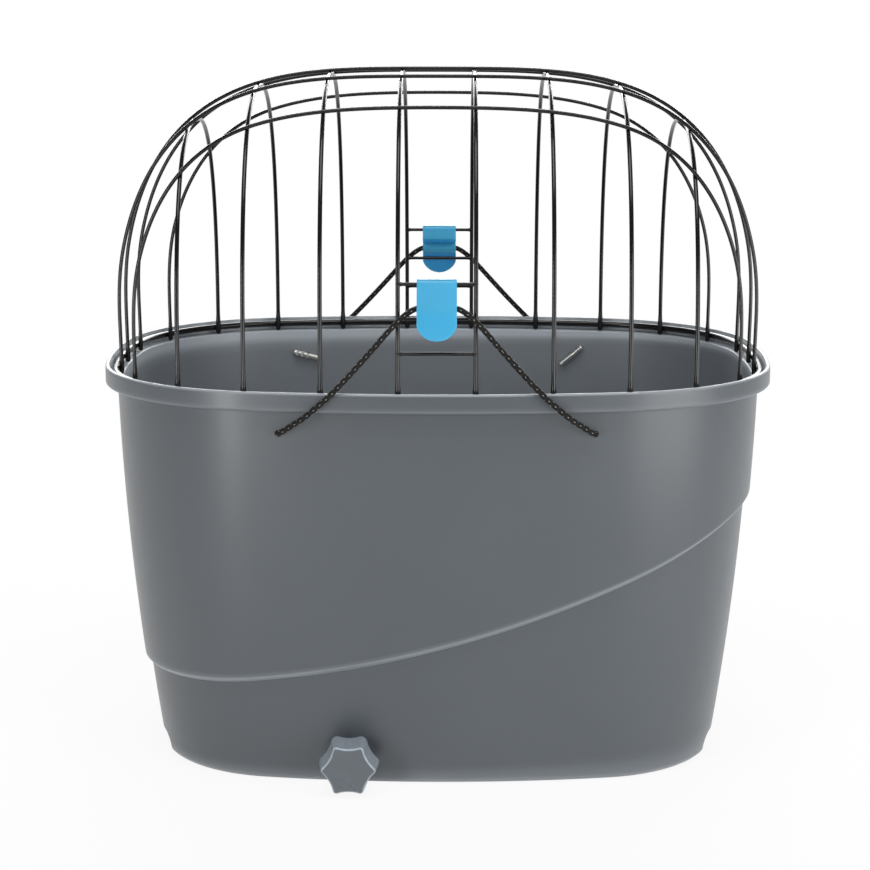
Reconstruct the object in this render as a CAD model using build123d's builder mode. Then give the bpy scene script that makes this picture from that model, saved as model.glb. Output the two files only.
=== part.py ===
"""A bicycle pet basket: a moulded tub, a domed wire cage and two clamps under the floor.

Millimetres, +Z up. X runs along the basket, -Y is the front, and the origin lies
in the middle of the footprint, on the surface that the basket stands on.
"""

from build123d import *
import math
import os

os.makedirs("parts", exist_ok=True)

# Plan of the rim: half sizes and the three arcs of each quarter
rim_half_length = 235.0
rim_half_depth = 180.0
side_arc = 746.0
end_arc = 521.0
corner_arc = 129.6

# Heights of the tub
tub_height = 276.0
rim_band = 13.0
ledge_drop = 9.0
floor_top = 33.5
floor_thickness = 3.5
foot_height = 6.0

# Walls of the tub
wall = 4.0
lip_wall = 3.0
foot_width = 11.0
rim_overhang = 8.4
wall_slope = 0.0287
wall_bulge_radius = 2040.0
depth_taper_share = 0.92
foot_fillet = 5.0
rim_rounding = 1.2

# The upper wall stands proud of the lower one, above a swooping edge
step_depth = 3.9
swoosh_radius = 928.0
swoosh_left_height = 65.0
swoosh_right_height = 193.2
swoosh_chamfer = 3.0

# Cage wires
ring_wire = 4.5
cross_wire = 3.0
long_wire = 2.6
rung_wire = 2.4
weld_sink = 0.15
cross_count = 8
cross_spacing = 50.7
outer_cross_spacing = 45.3
long_count = 5
long_spacing = 51.0
cage_height = 199.0
cage_length_power = 3.6
cage_depth_power = 2.6
cage_height_power = 2.65
leg_inset = 11.1
ring_drop = 4.0
leg_gap = 0.1
rung_heights = (25.0, 47.4, 70.0)
leg_shares = (0.3, 0.6)
rail_full_height = 80.0

# Clips
clip_width = 26.0
clip_thickness = 2.0
clip_hook_gap = 0.1
clip_hook_leg = 8.0
clip_strap_angle = 26.0
clip_strap_drop = 17.5
clip_tab_angle = 13.0
clip_drop = 35.3
clip_bend_radius = 12.0
clip_end_rise = 9.0
tunnel_drop = 14.7
tunnel_wall = 1.5

# Elastic cords
cord_diameter = 3.8
cord_gap = 0.35
cord_hole_x = 104.0
cord_hole_height = 247.4
cord_exit_proud = 4.7
cord_rim_x = 84.5
cord_rim_proud = 2.7
cord_rim_height = 260.8
cord_lip_x = 68.5
cord_lip_proud = 2.35
cord_lip_height = 274.5
cord_mouth_x = 15.3
cord_exit_radius = 4.5
cord_rim_radius = 25.0
cord_lip_radius = 60.0
cord_mouth_radius = 6.0
barb_diameter = 4.6
barb_length = 23.0
barb_wall_gap = 0.5
barb_rounding = 1.2
front_barb_tilts = (14.0, -22.0)
rear_barb_tilts = (-15.0, 40.0)

# Clamps: each pair of jaws grips two tubes of a carrier
clamp_x = 59.0
tube_diameter = 10.0
tube_spacing = 120.0
tube_height = 8.5
slot_width = 164.0
slot_height = 14.5
slot_corner = 9.0
screw_height = 20.0
screw_diameter = 8.0
screw_gap = 0.08
shaft_gap = 0.3
jaw_width = 28.0
jaw_back = 6.0
jaw_front = 12.0
jaw_toe = 3.2
jaw_foot_gap = 0.6
jaw_hook_angle = 60.0
jaw_web_gap = 0.3
nut_flats = 13.0
nut_thickness = 6.5
nut_gap = 0.1
rail_thickness = 2.0
rail_flange = 1.5
rail_flange_depth = 8.0
rail_side_gap = 0.5
rail_near_end = 80.0
rail_far_end = 92.0
jaw_travel = 12.0
rivet_diameter = 4.0
rivet_head = 8.0
rivet_head_height = 1.6
rivet_head_rounding = 1.2
rivet_gap = 0.05
rivet_near = 25.0
rivet_far = 30.0

# Knob and what turns with it
knob_radius = 23.5
knob_lobes = 6
knob_waist = 16.6
knob_scallop = 22.0
knob_lobe_fillet = 3.4
knob_taper = 6.0
knob_length = 20.0
knob_face_fillet = 0.9
knob_screw_depth = 14.0
hub_diameter = 20.0
hub_length = 7.0
boss_diameter = 20.0
boss_height = 2.4
washer_diameter = 18.0
washer_thickness = 1.5
washer_gap = 0.1
retainer_diameter = 14.0
retainer_thickness = 1.5
retainer_groove = 0.5
screw_tail = 3.0
screw_chamfer = 0.8
retainer_slot = 4.0

# Places that follow from the sizes above
band_bottom = tub_height - rim_band
ledge_height = tub_height - ledge_drop
cage_base = tub_height
leg_bottom = ledge_height + leg_gap
cross_radius = cross_wire / 2
long_radius = long_wire / 2
rung_radius = rung_wire / 2
ring_radius = ring_wire / 2
cord_radius = cord_diameter / 2
tunnel_radius = cord_radius + cord_gap
small_step = 0.01
straight_limit = 0.001
rivet_places = (
    (-clamp_x, -rivet_near), (-clamp_x, rivet_far), (clamp_x, rivet_near), (clamp_x, -rivet_far)
)


def taper(height):
    """How far the bulging wall has drawn in at this height, along the basket."""
    drop = band_bottom - height
    return wall_slope * drop + drop * drop / (2 * wall_bulge_radius)


def quarter(inset, drawn_in=0.0):
    """Half sizes, radii, corner centre and tangent points of one quarter of an oval."""
    half_length = rim_half_length - inset - drawn_in
    half_depth = rim_half_depth - inset - drawn_in * depth_taper_share
    side = side_arc - inset - drawn_in * depth_taper_share
    end = end_arc - inset - drawn_in
    corner = corner_arc - inset - drawn_in
    side_centre = Vector(0, side - half_depth)
    end_centre = Vector(half_length - end, 0)
    across = end_centre - side_centre
    gap = across.length
    along = ((side - corner) ** 2 - (end - corner) ** 2 + gap ** 2) / (2 * gap)
    beside = math.sqrt((side - corner) ** 2 - along ** 2)
    unit = across / gap
    normal = Vector(unit.Y, -unit.X)
    corner_centre = side_centre + unit * along - normal * beside
    if corner_centre.Y > 0:
        corner_centre = side_centre + unit * along + normal * beside
    side_end = side_centre + (corner_centre - side_centre).normalized() * side
    corner_end = end_centre + (corner_centre - end_centre).normalized() * end
    corner_middle = corner_centre + (
        (side_end + corner_end) * 0.5 - corner_centre
    ).normalized() * corner
    rounds = ((side_centre, side), (corner_centre, corner), (end_centre, end))
    return half_length, half_depth, side_end, corner_middle, corner_end, rounds


def oval_arcs(inset, drawn_in=0.0):
    """The eight arcs of an oval, each as its start, middle and end in the plane."""
    half_length, half_depth, side_end, corner_middle, corner_end, _ = quarter(inset, drawn_in)
    one = [(side_end, corner_middle, corner_end)]
    right = one + [(corner_end, Vector(half_length, 0), Vector(corner_end.X, -corner_end.Y))]
    right += [tuple(Vector(p.X, -p.Y) for p in reversed(one[0]))]
    back = [(Vector(side_end.X, -side_end.Y), Vector(0, half_depth), Vector(-side_end.X, -side_end.Y))]
    left = [tuple(Vector(-p.X, -p.Y) for p in arc) for arc in right]
    front = [tuple(Vector(-p.X, -p.Y) for p in back[0])]
    return right + back + left + front


def oval(height, inset, drawn_in=0.0):
    """An oval face at a height, drawn in from the rim's outline."""
    with BuildSketch(Plane.XY.offset(height)) as sketch:
        with BuildLine():
            for start, middle, end in oval_arcs(inset, drawn_in):
                ThreePointArc(start, middle, end)
        make_face()
    return sketch.sketch


def half_depth_at(x, inset, drawn_in=0.0):
    """The oval's half depth at a distance along the basket."""
    _, _, side_end, _, corner_end, rounds = quarter(inset, drawn_in)
    x = abs(x)
    centre, radius = rounds[(x > side_end.X) + (x > corner_end.X)]
    return math.sqrt(max(radius ** 2 - (x - centre.X) ** 2, 0.0)) - centre.Y


def half_length_at(y, inset, drawn_in=0.0):
    """The oval's half length at a distance across the basket."""
    _, _, side_end, _, corner_end, rounds = quarter(inset, drawn_in)
    y = -abs(y)
    centre, radius = rounds[2 - (y < corner_end.Y) - (y < side_end.Y)]
    return math.sqrt(max(radius ** 2 - (y - centre.Y) ** 2, 0.0)) + centre.X


# Tub
lower_inset = rim_overhang + step_depth
level_count = 5
screw_side_gap = screw_diameter / 2 + shaft_gap
shaft_wall_depth = half_depth_at(clamp_x, lower_inset, taper(screw_height))
boss_face = shaft_wall_depth + boss_height
swoosh_half = rim_half_length - rim_overhang
swoosh_rise = swoosh_right_height - swoosh_left_height
swoosh_half_chord = math.hypot(swoosh_half, swoosh_rise / 2)
swoosh_sag = swoosh_radius - math.sqrt(swoosh_radius ** 2 - swoosh_half_chord ** 2)


def levels(bottom, top):
    """Heights at which a wall's outline is given."""
    return [bottom + (top - bottom) * n / (level_count - 1) for n in range(level_count)]


def below_swoosh(rise):
    """The space under the swooping edge, lifted by a rise."""
    left = Vector(-swoosh_half, swoosh_left_height + rise)
    right = Vector(swoosh_half, swoosh_right_height + rise)
    chord = (right - left).normalized()
    middle = (left + right) * 0.5 + Vector(chord.Y, -chord.X) * swoosh_sag
    reach = 2 * rim_overhang
    with BuildPart(mode=Mode.PRIVATE) as under:
        with BuildSketch(Plane.XZ):
            with BuildLine():
                edge = ThreePointArc(left, middle, right)
                tail_left = Line(edge @ 0, (edge @ 0) - (edge % 0) * reach)
                tail_right = Line(edge @ 1, (edge @ 1) + (edge % 1) * reach)
                Polyline(
                    tail_left @ 1,
                    ((tail_left @ 1).X, -rim_band),
                    ((tail_right @ 1).X, -rim_band),
                    tail_right @ 1,
                )
            make_face()
        extrude(amount=rim_half_depth, both=True)
    return under.part


with BuildPart() as upper_wall:
    foot_of_upper = swoosh_left_height - 2 * rim_band
    loft(sections=[oval(z, rim_overhang, taper(z)) for z in levels(foot_of_upper, band_bottom)], ruled=True)
    add(below_swoosh(0.0), mode=Mode.SUBTRACT)
    step_edges = upper_wall.edges().filter_by(lambda e: small_step < e.center().Z - foot_of_upper)
    step_edges = step_edges.filter_by(lambda e: e.bounding_box().max.Z < swoosh_right_height + rim_band)
    chamfer(step_edges, swoosh_chamfer)

with BuildPart() as upper_hollow:
    loft(
        sections=[oval(z, rim_overhang + wall, taper(z)) for z in levels(foot_of_upper, band_bottom)],
        ruled=True,
    )
    add(below_swoosh(wall), mode=Mode.SUBTRACT)

with BuildPart() as tub:
    loft(sections=[oval(z, lower_inset, taper(z)) for z in levels(0.0, band_bottom)], ruled=True)
    fillet(tub.faces().sort_by(Axis.Z)[0].edges(), foot_fillet)
    add(upper_wall.part)
    with BuildSketch(Plane.XY.offset(band_bottom)):
        add(oval(band_bottom, 0.0))
    extrude(amount=rim_band)
    fillet(tub.faces().sort_by(Axis.Z)[-1].edges(), rim_rounding)
    # Round bosses that the clamp shafts pass through
    for side in (-1, 1):
        with BuildSketch(Plane((side * clamp_x, side * boss_face, screw_height), z_dir=(0, -side, 0))):
            Circle(boss_diameter / 2)
        extrude(amount=boss_height + wall)
    # The inside of the lip, down to the ledge
    with BuildSketch(Plane.XY.offset(ledge_height)):
        add(oval(ledge_height, lip_wall))
    extrude(amount=ledge_drop, mode=Mode.SUBTRACT)
    # The inside, from the ledge to the floor
    with BuildSketch(Plane.XY.offset(band_bottom)):
        add(oval(band_bottom, rim_overhang + wall))
    extrude(amount=rim_band - ledge_drop, mode=Mode.SUBTRACT)
    add(upper_hollow.part, mode=Mode.SUBTRACT)
    loft(
        sections=[oval(z, lower_inset + wall, taper(z)) for z in levels(floor_top, band_bottom)],
        ruled=True,
        mode=Mode.SUBTRACT,
    )
    # The hollow under the floor, inside the skirt and its foot
    loft(
        sections=[oval(z, lower_inset + wall, taper(z)) for z in (foot_height, floor_top - floor_thickness)],
        ruled=True,
        mode=Mode.SUBTRACT,
    )
    with BuildSketch(Plane.XY):
        add(oval(0.0, lower_inset + foot_width, taper(0.0)))
    extrude(amount=foot_height, mode=Mode.SUBTRACT)
    # A wide slot in each of the skirt's ends, for both tubes of the carrier
    with BuildSketch(Plane.YZ) as slots:
        Rectangle(slot_width, slot_height, align=(Align.CENTER, Align.MIN))
        fillet(slots.vertices().group_by(Axis.Y)[-1], slot_corner)
    extrude(amount=rim_half_length, both=True, mode=Mode.SUBTRACT)
    # Holes for the clamp shafts
    for side in (-1, 1):
        with BuildSketch(Plane((side * clamp_x, side * rim_half_depth, screw_height), z_dir=(0, -side, 0))):
            Circle(screw_side_gap)
        extrude(amount=rim_half_depth / 2, mode=Mode.SUBTRACT)
    # Holes for the cords
    with BuildSketch(Plane.XZ):
        with Locations((-cord_hole_x, cord_hole_height), (cord_hole_x, cord_hole_height)):
            Circle(tunnel_radius)
    extrude(amount=rim_half_depth, both=True, mode=Mode.SUBTRACT)
    # Rivet holes through the floor
    with BuildSketch(Plane.XY.offset(floor_top)):
        with Locations(*rivet_places):
            Circle(rivet_diameter / 2 + rivet_gap)
    extrude(amount=-floor_thickness, mode=Mode.SUBTRACT)

tub.part.label = "tub"
export_step(tub.part, "parts/tub.step")


# Wire cage
def biarcs(stations):
    """A smooth path of arcs, two between each pair of stations (a point and a direction)."""
    with BuildLine(mode=Mode.PRIVATE) as path:
        for (start, leaving), (end, arriving) in zip(stations, stations[1:]):
            chord = end - start
            both = leaving + arriving
            opening = 2 * (1 - leaving.dot(arriving))
            if (chord.normalized() - leaving).length < straight_limit and opening < straight_limit ** 2:
                Line(start, end)
                continue
            lean = chord.dot(both)
            if opening < straight_limit ** 2:
                reach = chord.dot(chord) / (2 * lean)
            else:
                reach = (math.sqrt(lean ** 2 + opening * chord.dot(chord)) - lean) / opening
            first_corner = start + leaving * reach
            last_corner = end - arriving * reach
            joint = (first_corner + last_corner) * 0.5
            TangentArc(start, joint, tangent=leaving)
            TangentArc(joint, end, tangent=last_corner - first_corner)
    return path.line


cage_half_length, cage_half_depth = quarter(leg_inset)[:2]


def dome(x, y):
    """Height of the cross wires' centres above the rim, over a point of the plan."""
    lengthwise = max(1 - abs(x / cage_half_length) ** cage_length_power, 0.0)
    across = max(1 - abs(y / half_depth_at(x, leg_inset)) ** cage_depth_power, 0.0)
    return cage_height * (lengthwise * across) ** (1 / cage_height_power)


def dome_slopes(x, y):
    """The dome's slopes along and across."""
    along = (dome(x + small_step, y) - dome(x - small_step, y)) / (2 * small_step)
    across = (dome(x, y + small_step) - dome(x, y - small_step)) / (2 * small_step)
    return along, across


def cross_x(number):
    """Where a cross arch stands along the cage, numbered from the left."""
    place = number - (cross_count - 1) / 2
    inner = (cross_count - 1) / 2 - 1
    if abs(place) <= inner:
        return place * cross_spacing
    return math.copysign(inner * cross_spacing + outer_cross_spacing, place)


def long_y(number):
    """Where a long arch stands across the cage, numbered from the front."""
    return (number - (long_count - 1) / 2) * long_spacing


def cross_depth(x, height):
    """How far out from the middle a cross arch is at a height above the rim."""
    crown = dome(x, 0.0)
    fraction = (1 - (height / crown) ** cage_height_power) ** (1 / cage_depth_power)
    return half_depth_at(x, leg_inset) * fraction


def cross_stations(x):
    """Stations of a cross arch: its front leg, two heights, the rails, and back down."""
    crown = dome(x, 0.0)
    foot = -half_depth_at(x, leg_inset)
    up = Vector(0, 0, 1)
    stations = [(Vector(x, foot, leg_bottom), up), (Vector(x, foot, cage_base), up)]
    places = [-cross_depth(x, share * crown) for share in leg_shares]
    places += [long_y(number) for number in range(long_count)]
    places += [cross_depth(x, share * crown) for share in reversed(leg_shares)]
    for y in places:
        slope = dome_slopes(x, y)[1]
        stations.append((Vector(x, y, cage_base + dome(x, y)), Vector(0, 1, slope).normalized()))
    stations += [(Vector(x, -foot, cage_base), -up), (Vector(x, -foot, leg_bottom), -up)]
    return stations


rail_distance = cross_radius + long_radius - weld_sink


def long_point(x, y):
    """Centre of a long arch, outside the cross arches that it crosses."""
    along, across = dome_slopes(x, y)
    height = dome(x, y)
    share = min(height / rail_full_height, 1.0)
    share = share * share * (3 - 2 * share)
    lean = 1 - across ** 2 / ((1 + along ** 2) * (1 + across ** 2))
    off = rail_distance * share / math.sqrt(lean)
    steep = math.hypot(along, 1)
    return Vector(x - off * along / steep, y, cage_base + height + off / steep)


def long_stations(y):
    """Stations of a long arch: its left leg, two heights, the crossings, and back down."""
    foot = half_length_at(y, leg_inset)
    crown = dome(0.0, y)
    up = Vector(0, 0, 1)
    outer = []
    for share in leg_shares:
        low, high = 0.0, foot
        while high - low > small_step / 100:
            middle = (low + high) / 2
            low, high = (middle, high) if dome(middle, y) > share * crown else (low, middle)
        outer.append(-low)
    places = outer + [cross_x(number) for number in range(cross_count)] + [-x for x in reversed(outer)]
    stations = [(Vector(-foot, y, leg_bottom), up), (Vector(-foot, y, cage_base), up)]
    for x in places:
        direction = long_point(x + small_step, y) - long_point(x - small_step, y)
        stations.append((long_point(x, y), direction.normalized()))
    stations += [(Vector(foot, y, cage_base), -up), (Vector(foot, y, leg_bottom), -up)]
    return stations


ring_inset = leg_inset - (ring_radius + cross_radius - weld_sink)

with BuildPart() as cage_base_ring:
    lift = Vector(0, 0, cage_base - ring_drop)
    with BuildLine() as ring_path:
        for start, middle, end in oval_arcs(ring_inset):
            ThreePointArc(start + lift, middle + lift, end + lift)
    with BuildSketch(Plane(origin=ring_path.line @ 0, z_dir=ring_path.line % 0)):
        Circle(ring_radius)
    sweep(path=ring_path.line)
cage_base_ring.part.label = "cage_base_ring"
export_step(cage_base_ring.part, "parts/cage_base_ring.step")

for number in range(cross_count):
    arch_path = biarcs(cross_stations(cross_x(number)))
    with BuildPart() as cross_arch:
        with BuildSketch(Plane(origin=arch_path @ 0, z_dir=arch_path % 0)):
            Circle(cross_radius)
        sweep(path=arch_path)
    cross_arch.part.label = f"cross_arch_{number + 1}"
    export_step(cross_arch.part, f"parts/cross_arch_{number + 1}.step")

for number in range(long_count):
    arch_path = biarcs(long_stations(long_y(number)))
    with BuildPart() as long_arch:
        with BuildSketch(Plane(origin=arch_path @ 0, z_dir=arch_path % 0)):
            Circle(long_radius)
        sweep(path=arch_path)
    long_arch.part.label = f"long_arch_{number + 1}"
    export_step(long_arch.part, f"parts/long_arch_{number + 1}.step")

# Rungs between the two middle cross arches
rung_x = cross_spacing / 2
for name, side in (("front_rungs", -1), ("rear_rungs", 1)):
    with BuildPart() as rungs:
        for height in rung_heights:
            depth = side * cross_depth(rung_x, height)
            with BuildSketch(Plane((0, depth, cage_base + height), z_dir=(1, 0, 0))):
                Circle(rung_radius)
            extrude(amount=rung_x, both=True)
    rungs.part.label = name
    export_step(rungs.part, f"parts/{name}.step")

# Clips that hook on the top rungs
clip_depth = cross_depth(rung_x, rung_heights[-1])
clip_height = cage_base + rung_heights[-1]
hook_radius = rung_radius + clip_hook_gap + clip_thickness / 2
strap_lean = math.radians(clip_strap_angle)
tab_lean = math.radians(clip_tab_angle)
hook_end = Vector(hook_radius * math.cos(strap_lean), hook_radius * math.sin(strap_lean))
strap_end = Vector(hook_end.X + (hook_end.Y + clip_strap_drop) * math.tan(strap_lean), -clip_strap_drop)
tab_length = clip_drop + clip_thickness - clip_strap_drop
tab_end = Vector(strap_end.X + tab_length * math.tan(tab_lean), -clip_drop - clip_thickness)
tunnel_out = (
    hook_end.X
    + (hook_end.Y + tunnel_drop) * math.tan(strap_lean)
    - (clip_thickness / 2 + tunnel_radius) / math.cos(strap_lean)
)

for name, side in (("front_clip", -1), ("rear_clip", 1)):
    profile = Plane((0, side * clip_depth, clip_height), x_dir=(0, side, 0), z_dir=(side, 0, 0))
    front_view = Plane((0, side * clip_depth, clip_height), x_dir=(side, 0, 0), z_dir=(0, -side, 0))
    with BuildPart() as clip:
        with BuildSketch(profile):
            with BuildLine():
                Line((-hook_radius, -clip_hook_leg), (-hook_radius, 0))
                ThreePointArc((-hook_radius, 0), hook_end.rotate(Axis.Z, 90 - clip_strap_angle), hook_end)
                FilletPolyline(hook_end, strap_end, tab_end, radius=clip_bend_radius)
            trace(line_width=clip_thickness)
            with Locations((tunnel_out, -tunnel_drop)):
                Circle(tunnel_radius + tunnel_wall)
                Circle(tunnel_radius, mode=Mode.SUBTRACT)
        extrude(amount=clip_width / 2, both=True)
        with BuildSketch(front_view):
            with BuildLine():
                shoulder = clip_end_rise - clip_drop
                corners = Polyline(
                    (clip_width / 2, shoulder),
                    (clip_width / 2, clip_width),
                    (-clip_width / 2, clip_width),
                    (-clip_width / 2, shoulder),
                )
                ThreePointArc(corners @ 1, (0, -clip_drop), corners @ 0)
            make_face()
        extrude(amount=clip_width, both=True, mode=Mode.INTERSECT)
    clip.part.label = name
    export_step(clip.part, f"parts/{name}.step")

# Elastic cords with metal bars on their ends
hole_taper = taper(cord_hole_height)
near_wall, far_wall = (
    half_depth_at(cord_hole_x + reach, rim_overhang + wall, hole_taper)
    for reach in (-barb_length / 2, barb_length / 2)
)
wall_turn = math.atan2(near_wall - far_wall, barb_length)
barb_off = (barb_wall_gap + barb_diameter / 2) / math.cos(wall_turn)
barb_depth = (near_wall + far_wall) / 2 - barb_off
cord_exit_depth = half_depth_at(cord_hole_x, rim_overhang, hole_taper) + cord_exit_proud
cord_rim_depth = half_depth_at(cord_rim_x, 0.0) + cord_rim_proud
cord_lip_depth = half_depth_at(cord_lip_x, 0.0) + cord_lip_proud
tunnel_depth = clip_depth + tunnel_out
tunnel_height = clip_height - tunnel_drop
cord_radii = (
    (cord_exit_radius, cord_rim_radius, cord_lip_radius, cord_mouth_radius)
    + (cord_mouth_radius, cord_lip_radius, cord_rim_radius, cord_exit_radius)
)


def cord_route(side):
    """The cord's corners from the left bar over the rim to the clip, and down again."""
    half = [
        Vector(-cord_hole_x, side * barb_depth, cord_hole_height),
        Vector(-cord_hole_x, side * cord_exit_depth, cord_hole_height),
        Vector(-cord_rim_x, side * cord_rim_depth, cord_rim_height),
        Vector(-cord_lip_x, side * cord_lip_depth, cord_lip_height),
        Vector(-cord_mouth_x, side * tunnel_depth, tunnel_height),
    ]
    return half + [Vector(-p.X, p.Y, p.Z) for p in reversed(half)]


for name, side in (("front_cord", -1), ("rear_cord", 1)):
    with BuildPart() as cord:
        with BuildLine() as route:
            FilletPolyline(*cord_route(side), radius=cord_radii)
        with BuildSketch(Plane(origin=route.line @ 0, z_dir=route.line % 0)):
            Circle(cord_radius)
        sweep(path=route.line)
    cord.part.label = name
    export_step(cord.part, f"parts/{name}.step")
    route_length = sum(edge.length for edge in route.line.edges())
    plain_volume = math.pi * cord_radius ** 2 * route_length
    print(name, "volume over section times length", cord.part.volume / plain_volume)
    print(name, "length", route_length, "radii", cord_radii)

for end_name, side, tilts in (("front", -1, front_barb_tilts), ("rear", 1, rear_barb_tilts)):
    with BuildPart() as barbs:
        for end, tilt in zip((-1, 1), tilts):
            rise = math.radians(tilt)
            lie = Vector(
                math.cos(rise) * math.cos(wall_turn),
                -side * end * math.cos(rise) * math.sin(wall_turn),
                math.sin(rise),
            )
            with BuildSketch(Plane((end * cord_hole_x, side * barb_depth, cord_hole_height), z_dir=lie)):
                Circle(barb_diameter / 2)
            extrude(amount=barb_length / 2, both=True)
        fillet(barbs.edges().filter_by(GeomType.CIRCLE), barb_rounding)
    barbs.part.label = f"{end_name}_cord_barbs"
    export_step(barbs.part, f"parts/{end_name}_cord_barbs.step")

# Clamps, drawn with the knob at the front: the rear one is the same, turned half round
clamps = {}
shaft_x = -clamp_x
washer_back = boss_face + washer_gap
hub_back = washer_back + washer_thickness + washer_gap
knob_back = hub_back + hub_length
jaw_place = tube_spacing / 2
retainer_place = jaw_back - jaw_place + washer_gap
web_bottom = floor_top - floor_thickness - rail_thickness
tube_radius = tube_diameter / 2


def facing(depth, direction):
    """A plane across the clamp's shaft, facing forward (-1) or back (1)."""
    return Plane((shaft_x, depth, screw_height), x_dir=(-direction, 0, 0), z_dir=(0, direction, 0))


with BuildPart() as knob:
    with BuildSketch(facing(-knob_back, -1)) as star:
        Circle(knob_radius)
        with PolarLocations(knob_waist + knob_scallop, knob_lobes, start_angle=180 / knob_lobes):
            Circle(knob_scallop, mode=Mode.SUBTRACT)
        fillet(star.vertices(), knob_lobe_fillet)
    extrude(amount=knob_length, taper=knob_taper)
    fillet(knob.faces().sort_by(Axis.Y)[0].edges(), knob_face_fillet)
    with BuildSketch(facing(-knob_back, 1)):
        Circle(hub_diameter / 2)
    extrude(amount=hub_length)
    with BuildSketch(facing(-hub_back, -1)):
        Circle(screw_diameter / 2 + screw_gap)
    extrude(amount=knob_screw_depth, mode=Mode.SUBTRACT)
clamps["knob"] = knob

with BuildPart() as clamp_screw:
    with BuildSketch(facing(-hub_back - knob_screw_depth + screw_gap, 1)):
        Circle(screw_diameter / 2)
    screw_end = jaw_place + jaw_front + jaw_travel + screw_tail
    extrude(amount=hub_back + knob_screw_depth - screw_gap + screw_end)
    chamfer(clamp_screw.faces().sort_by(Axis.Y)[-1].edges(), screw_chamfer)
    with BuildSketch(facing(retainer_place, 1)):
        Circle(screw_diameter)
        Circle(screw_diameter / 2 - retainer_groove, mode=Mode.SUBTRACT)
    extrude(amount=retainer_thickness + washer_gap, mode=Mode.SUBTRACT)
clamps["clamp_screw"] = clamp_screw

with BuildPart() as washer:
    with BuildSketch(facing(-washer_back, -1)):
        Circle(washer_diameter / 2)
        Circle(screw_side_gap, mode=Mode.SUBTRACT)
    extrude(amount=washer_thickness)
clamps["washer"] = washer

with BuildPart() as retaining_ring:
    with BuildSketch(facing(retainer_place, 1)):
        Circle(retainer_diameter / 2)
        Circle(screw_diameter / 2 - retainer_groove + screw_gap, mode=Mode.SUBTRACT)
        with Locations((0, -retainer_diameter / 2)):
            Rectangle(retainer_slot, retainer_diameter, mode=Mode.SUBTRACT)
    extrude(amount=retainer_thickness)
clamps["retaining_ring"] = retaining_ring


def jaw_plane(side):
    """The jaws' profile plane: outward from the tube's centre, and up."""
    return Plane((shaft_x, side * jaw_place, tube_height), x_dir=(0, side, 0), z_dir=(side, 0, 0))


def jaw_face(top):
    """A jaw's profile: a hook round the tube's outer side, up to its back under the rail."""
    hook = math.radians(jaw_hook_angle)
    toe = Vector(tube_radius * math.cos(hook), -tube_radius * math.sin(hook))
    bottom = jaw_foot_gap - tube_height
    with BuildSketch(mode=Mode.PRIVATE) as profile:
        with BuildLine():
            ThreePointArc((0, tube_radius), Vector(tube_radius, 0), toe)
            Polyline(
                toe,
                (jaw_toe, bottom),
                (jaw_front, bottom),
                (jaw_front, top),
                (-jaw_back, top),
                (-jaw_back, tube_radius),
                (0, tube_radius),
            )
        make_face()
    return profile.sketch


far_face = facing(jaw_place + jaw_front, -1)
with BuildPart() as sliding_jaw:
    with BuildSketch(jaw_plane(1)):
        add(jaw_face(web_bottom - jaw_web_gap - tube_height))
    extrude(amount=jaw_width / 2, both=True)
    with BuildSketch(far_face):
        Circle(screw_side_gap)
    extrude(amount=jaw_front + jaw_back, mode=Mode.SUBTRACT)
    with BuildSketch(far_face):
        RegularPolygon(nut_flats / 2 + nut_gap, 6, major_radius=False)
    extrude(amount=nut_thickness + nut_gap, mode=Mode.SUBTRACT)
clamps["sliding_jaw"] = sliding_jaw

with BuildPart() as jaw_nut:
    with BuildSketch(far_face):
        RegularPolygon(nut_flats / 2, 6, major_radius=False)
        Circle(screw_diameter / 2 + screw_gap, mode=Mode.SUBTRACT)
    extrude(amount=nut_thickness)
clamps["jaw_nut"] = jaw_nut

with BuildPart() as fixed_jaw:
    with BuildSketch(jaw_plane(-1)):
        add(jaw_face(web_bottom - tube_height))
    extrude(amount=jaw_width / 2, both=True)
    with BuildSketch(facing(-jaw_place - jaw_front, 1)):
        Circle(screw_diameter / 2 + screw_gap)
    extrude(amount=jaw_front + jaw_back, mode=Mode.SUBTRACT)
clamps["fixed_jaw"] = fixed_jaw

rail_half_width = jaw_width / 2 + rail_side_gap + rail_flange
with BuildPart() as rail:
    with BuildSketch(Plane((shaft_x, -rail_near_end, web_bottom), x_dir=(-1, 0, 0), z_dir=(0, 1, 0))):
        Rectangle(2 * rail_half_width, rail_thickness, align=(Align.CENTER, Align.MIN))
        with Locations((-rail_half_width, 0), (rail_half_width - rail_flange, 0)):
            Rectangle(rail_flange, rail_flange_depth, align=(Align.MIN, Align.MAX))
    extrude(amount=rail_near_end + rail_far_end)
    with BuildSketch(Plane.XY.offset(web_bottom)):
        with Locations((shaft_x, -rivet_near), (shaft_x, rivet_far)):
            Circle(rivet_diameter / 2 + rivet_gap)
    extrude(amount=rail_thickness, mode=Mode.SUBTRACT)
clamps["rail"] = rail

for piece, made in clamps.items():
    for end, turn in (("front", 0), ("rear", 180)):
        placed = made.part.rotate(Axis.Z, turn)
        placed.label = f"{end}_{piece}"
        export_step(placed, f"parts/{end}_{piece}.step")

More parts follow.
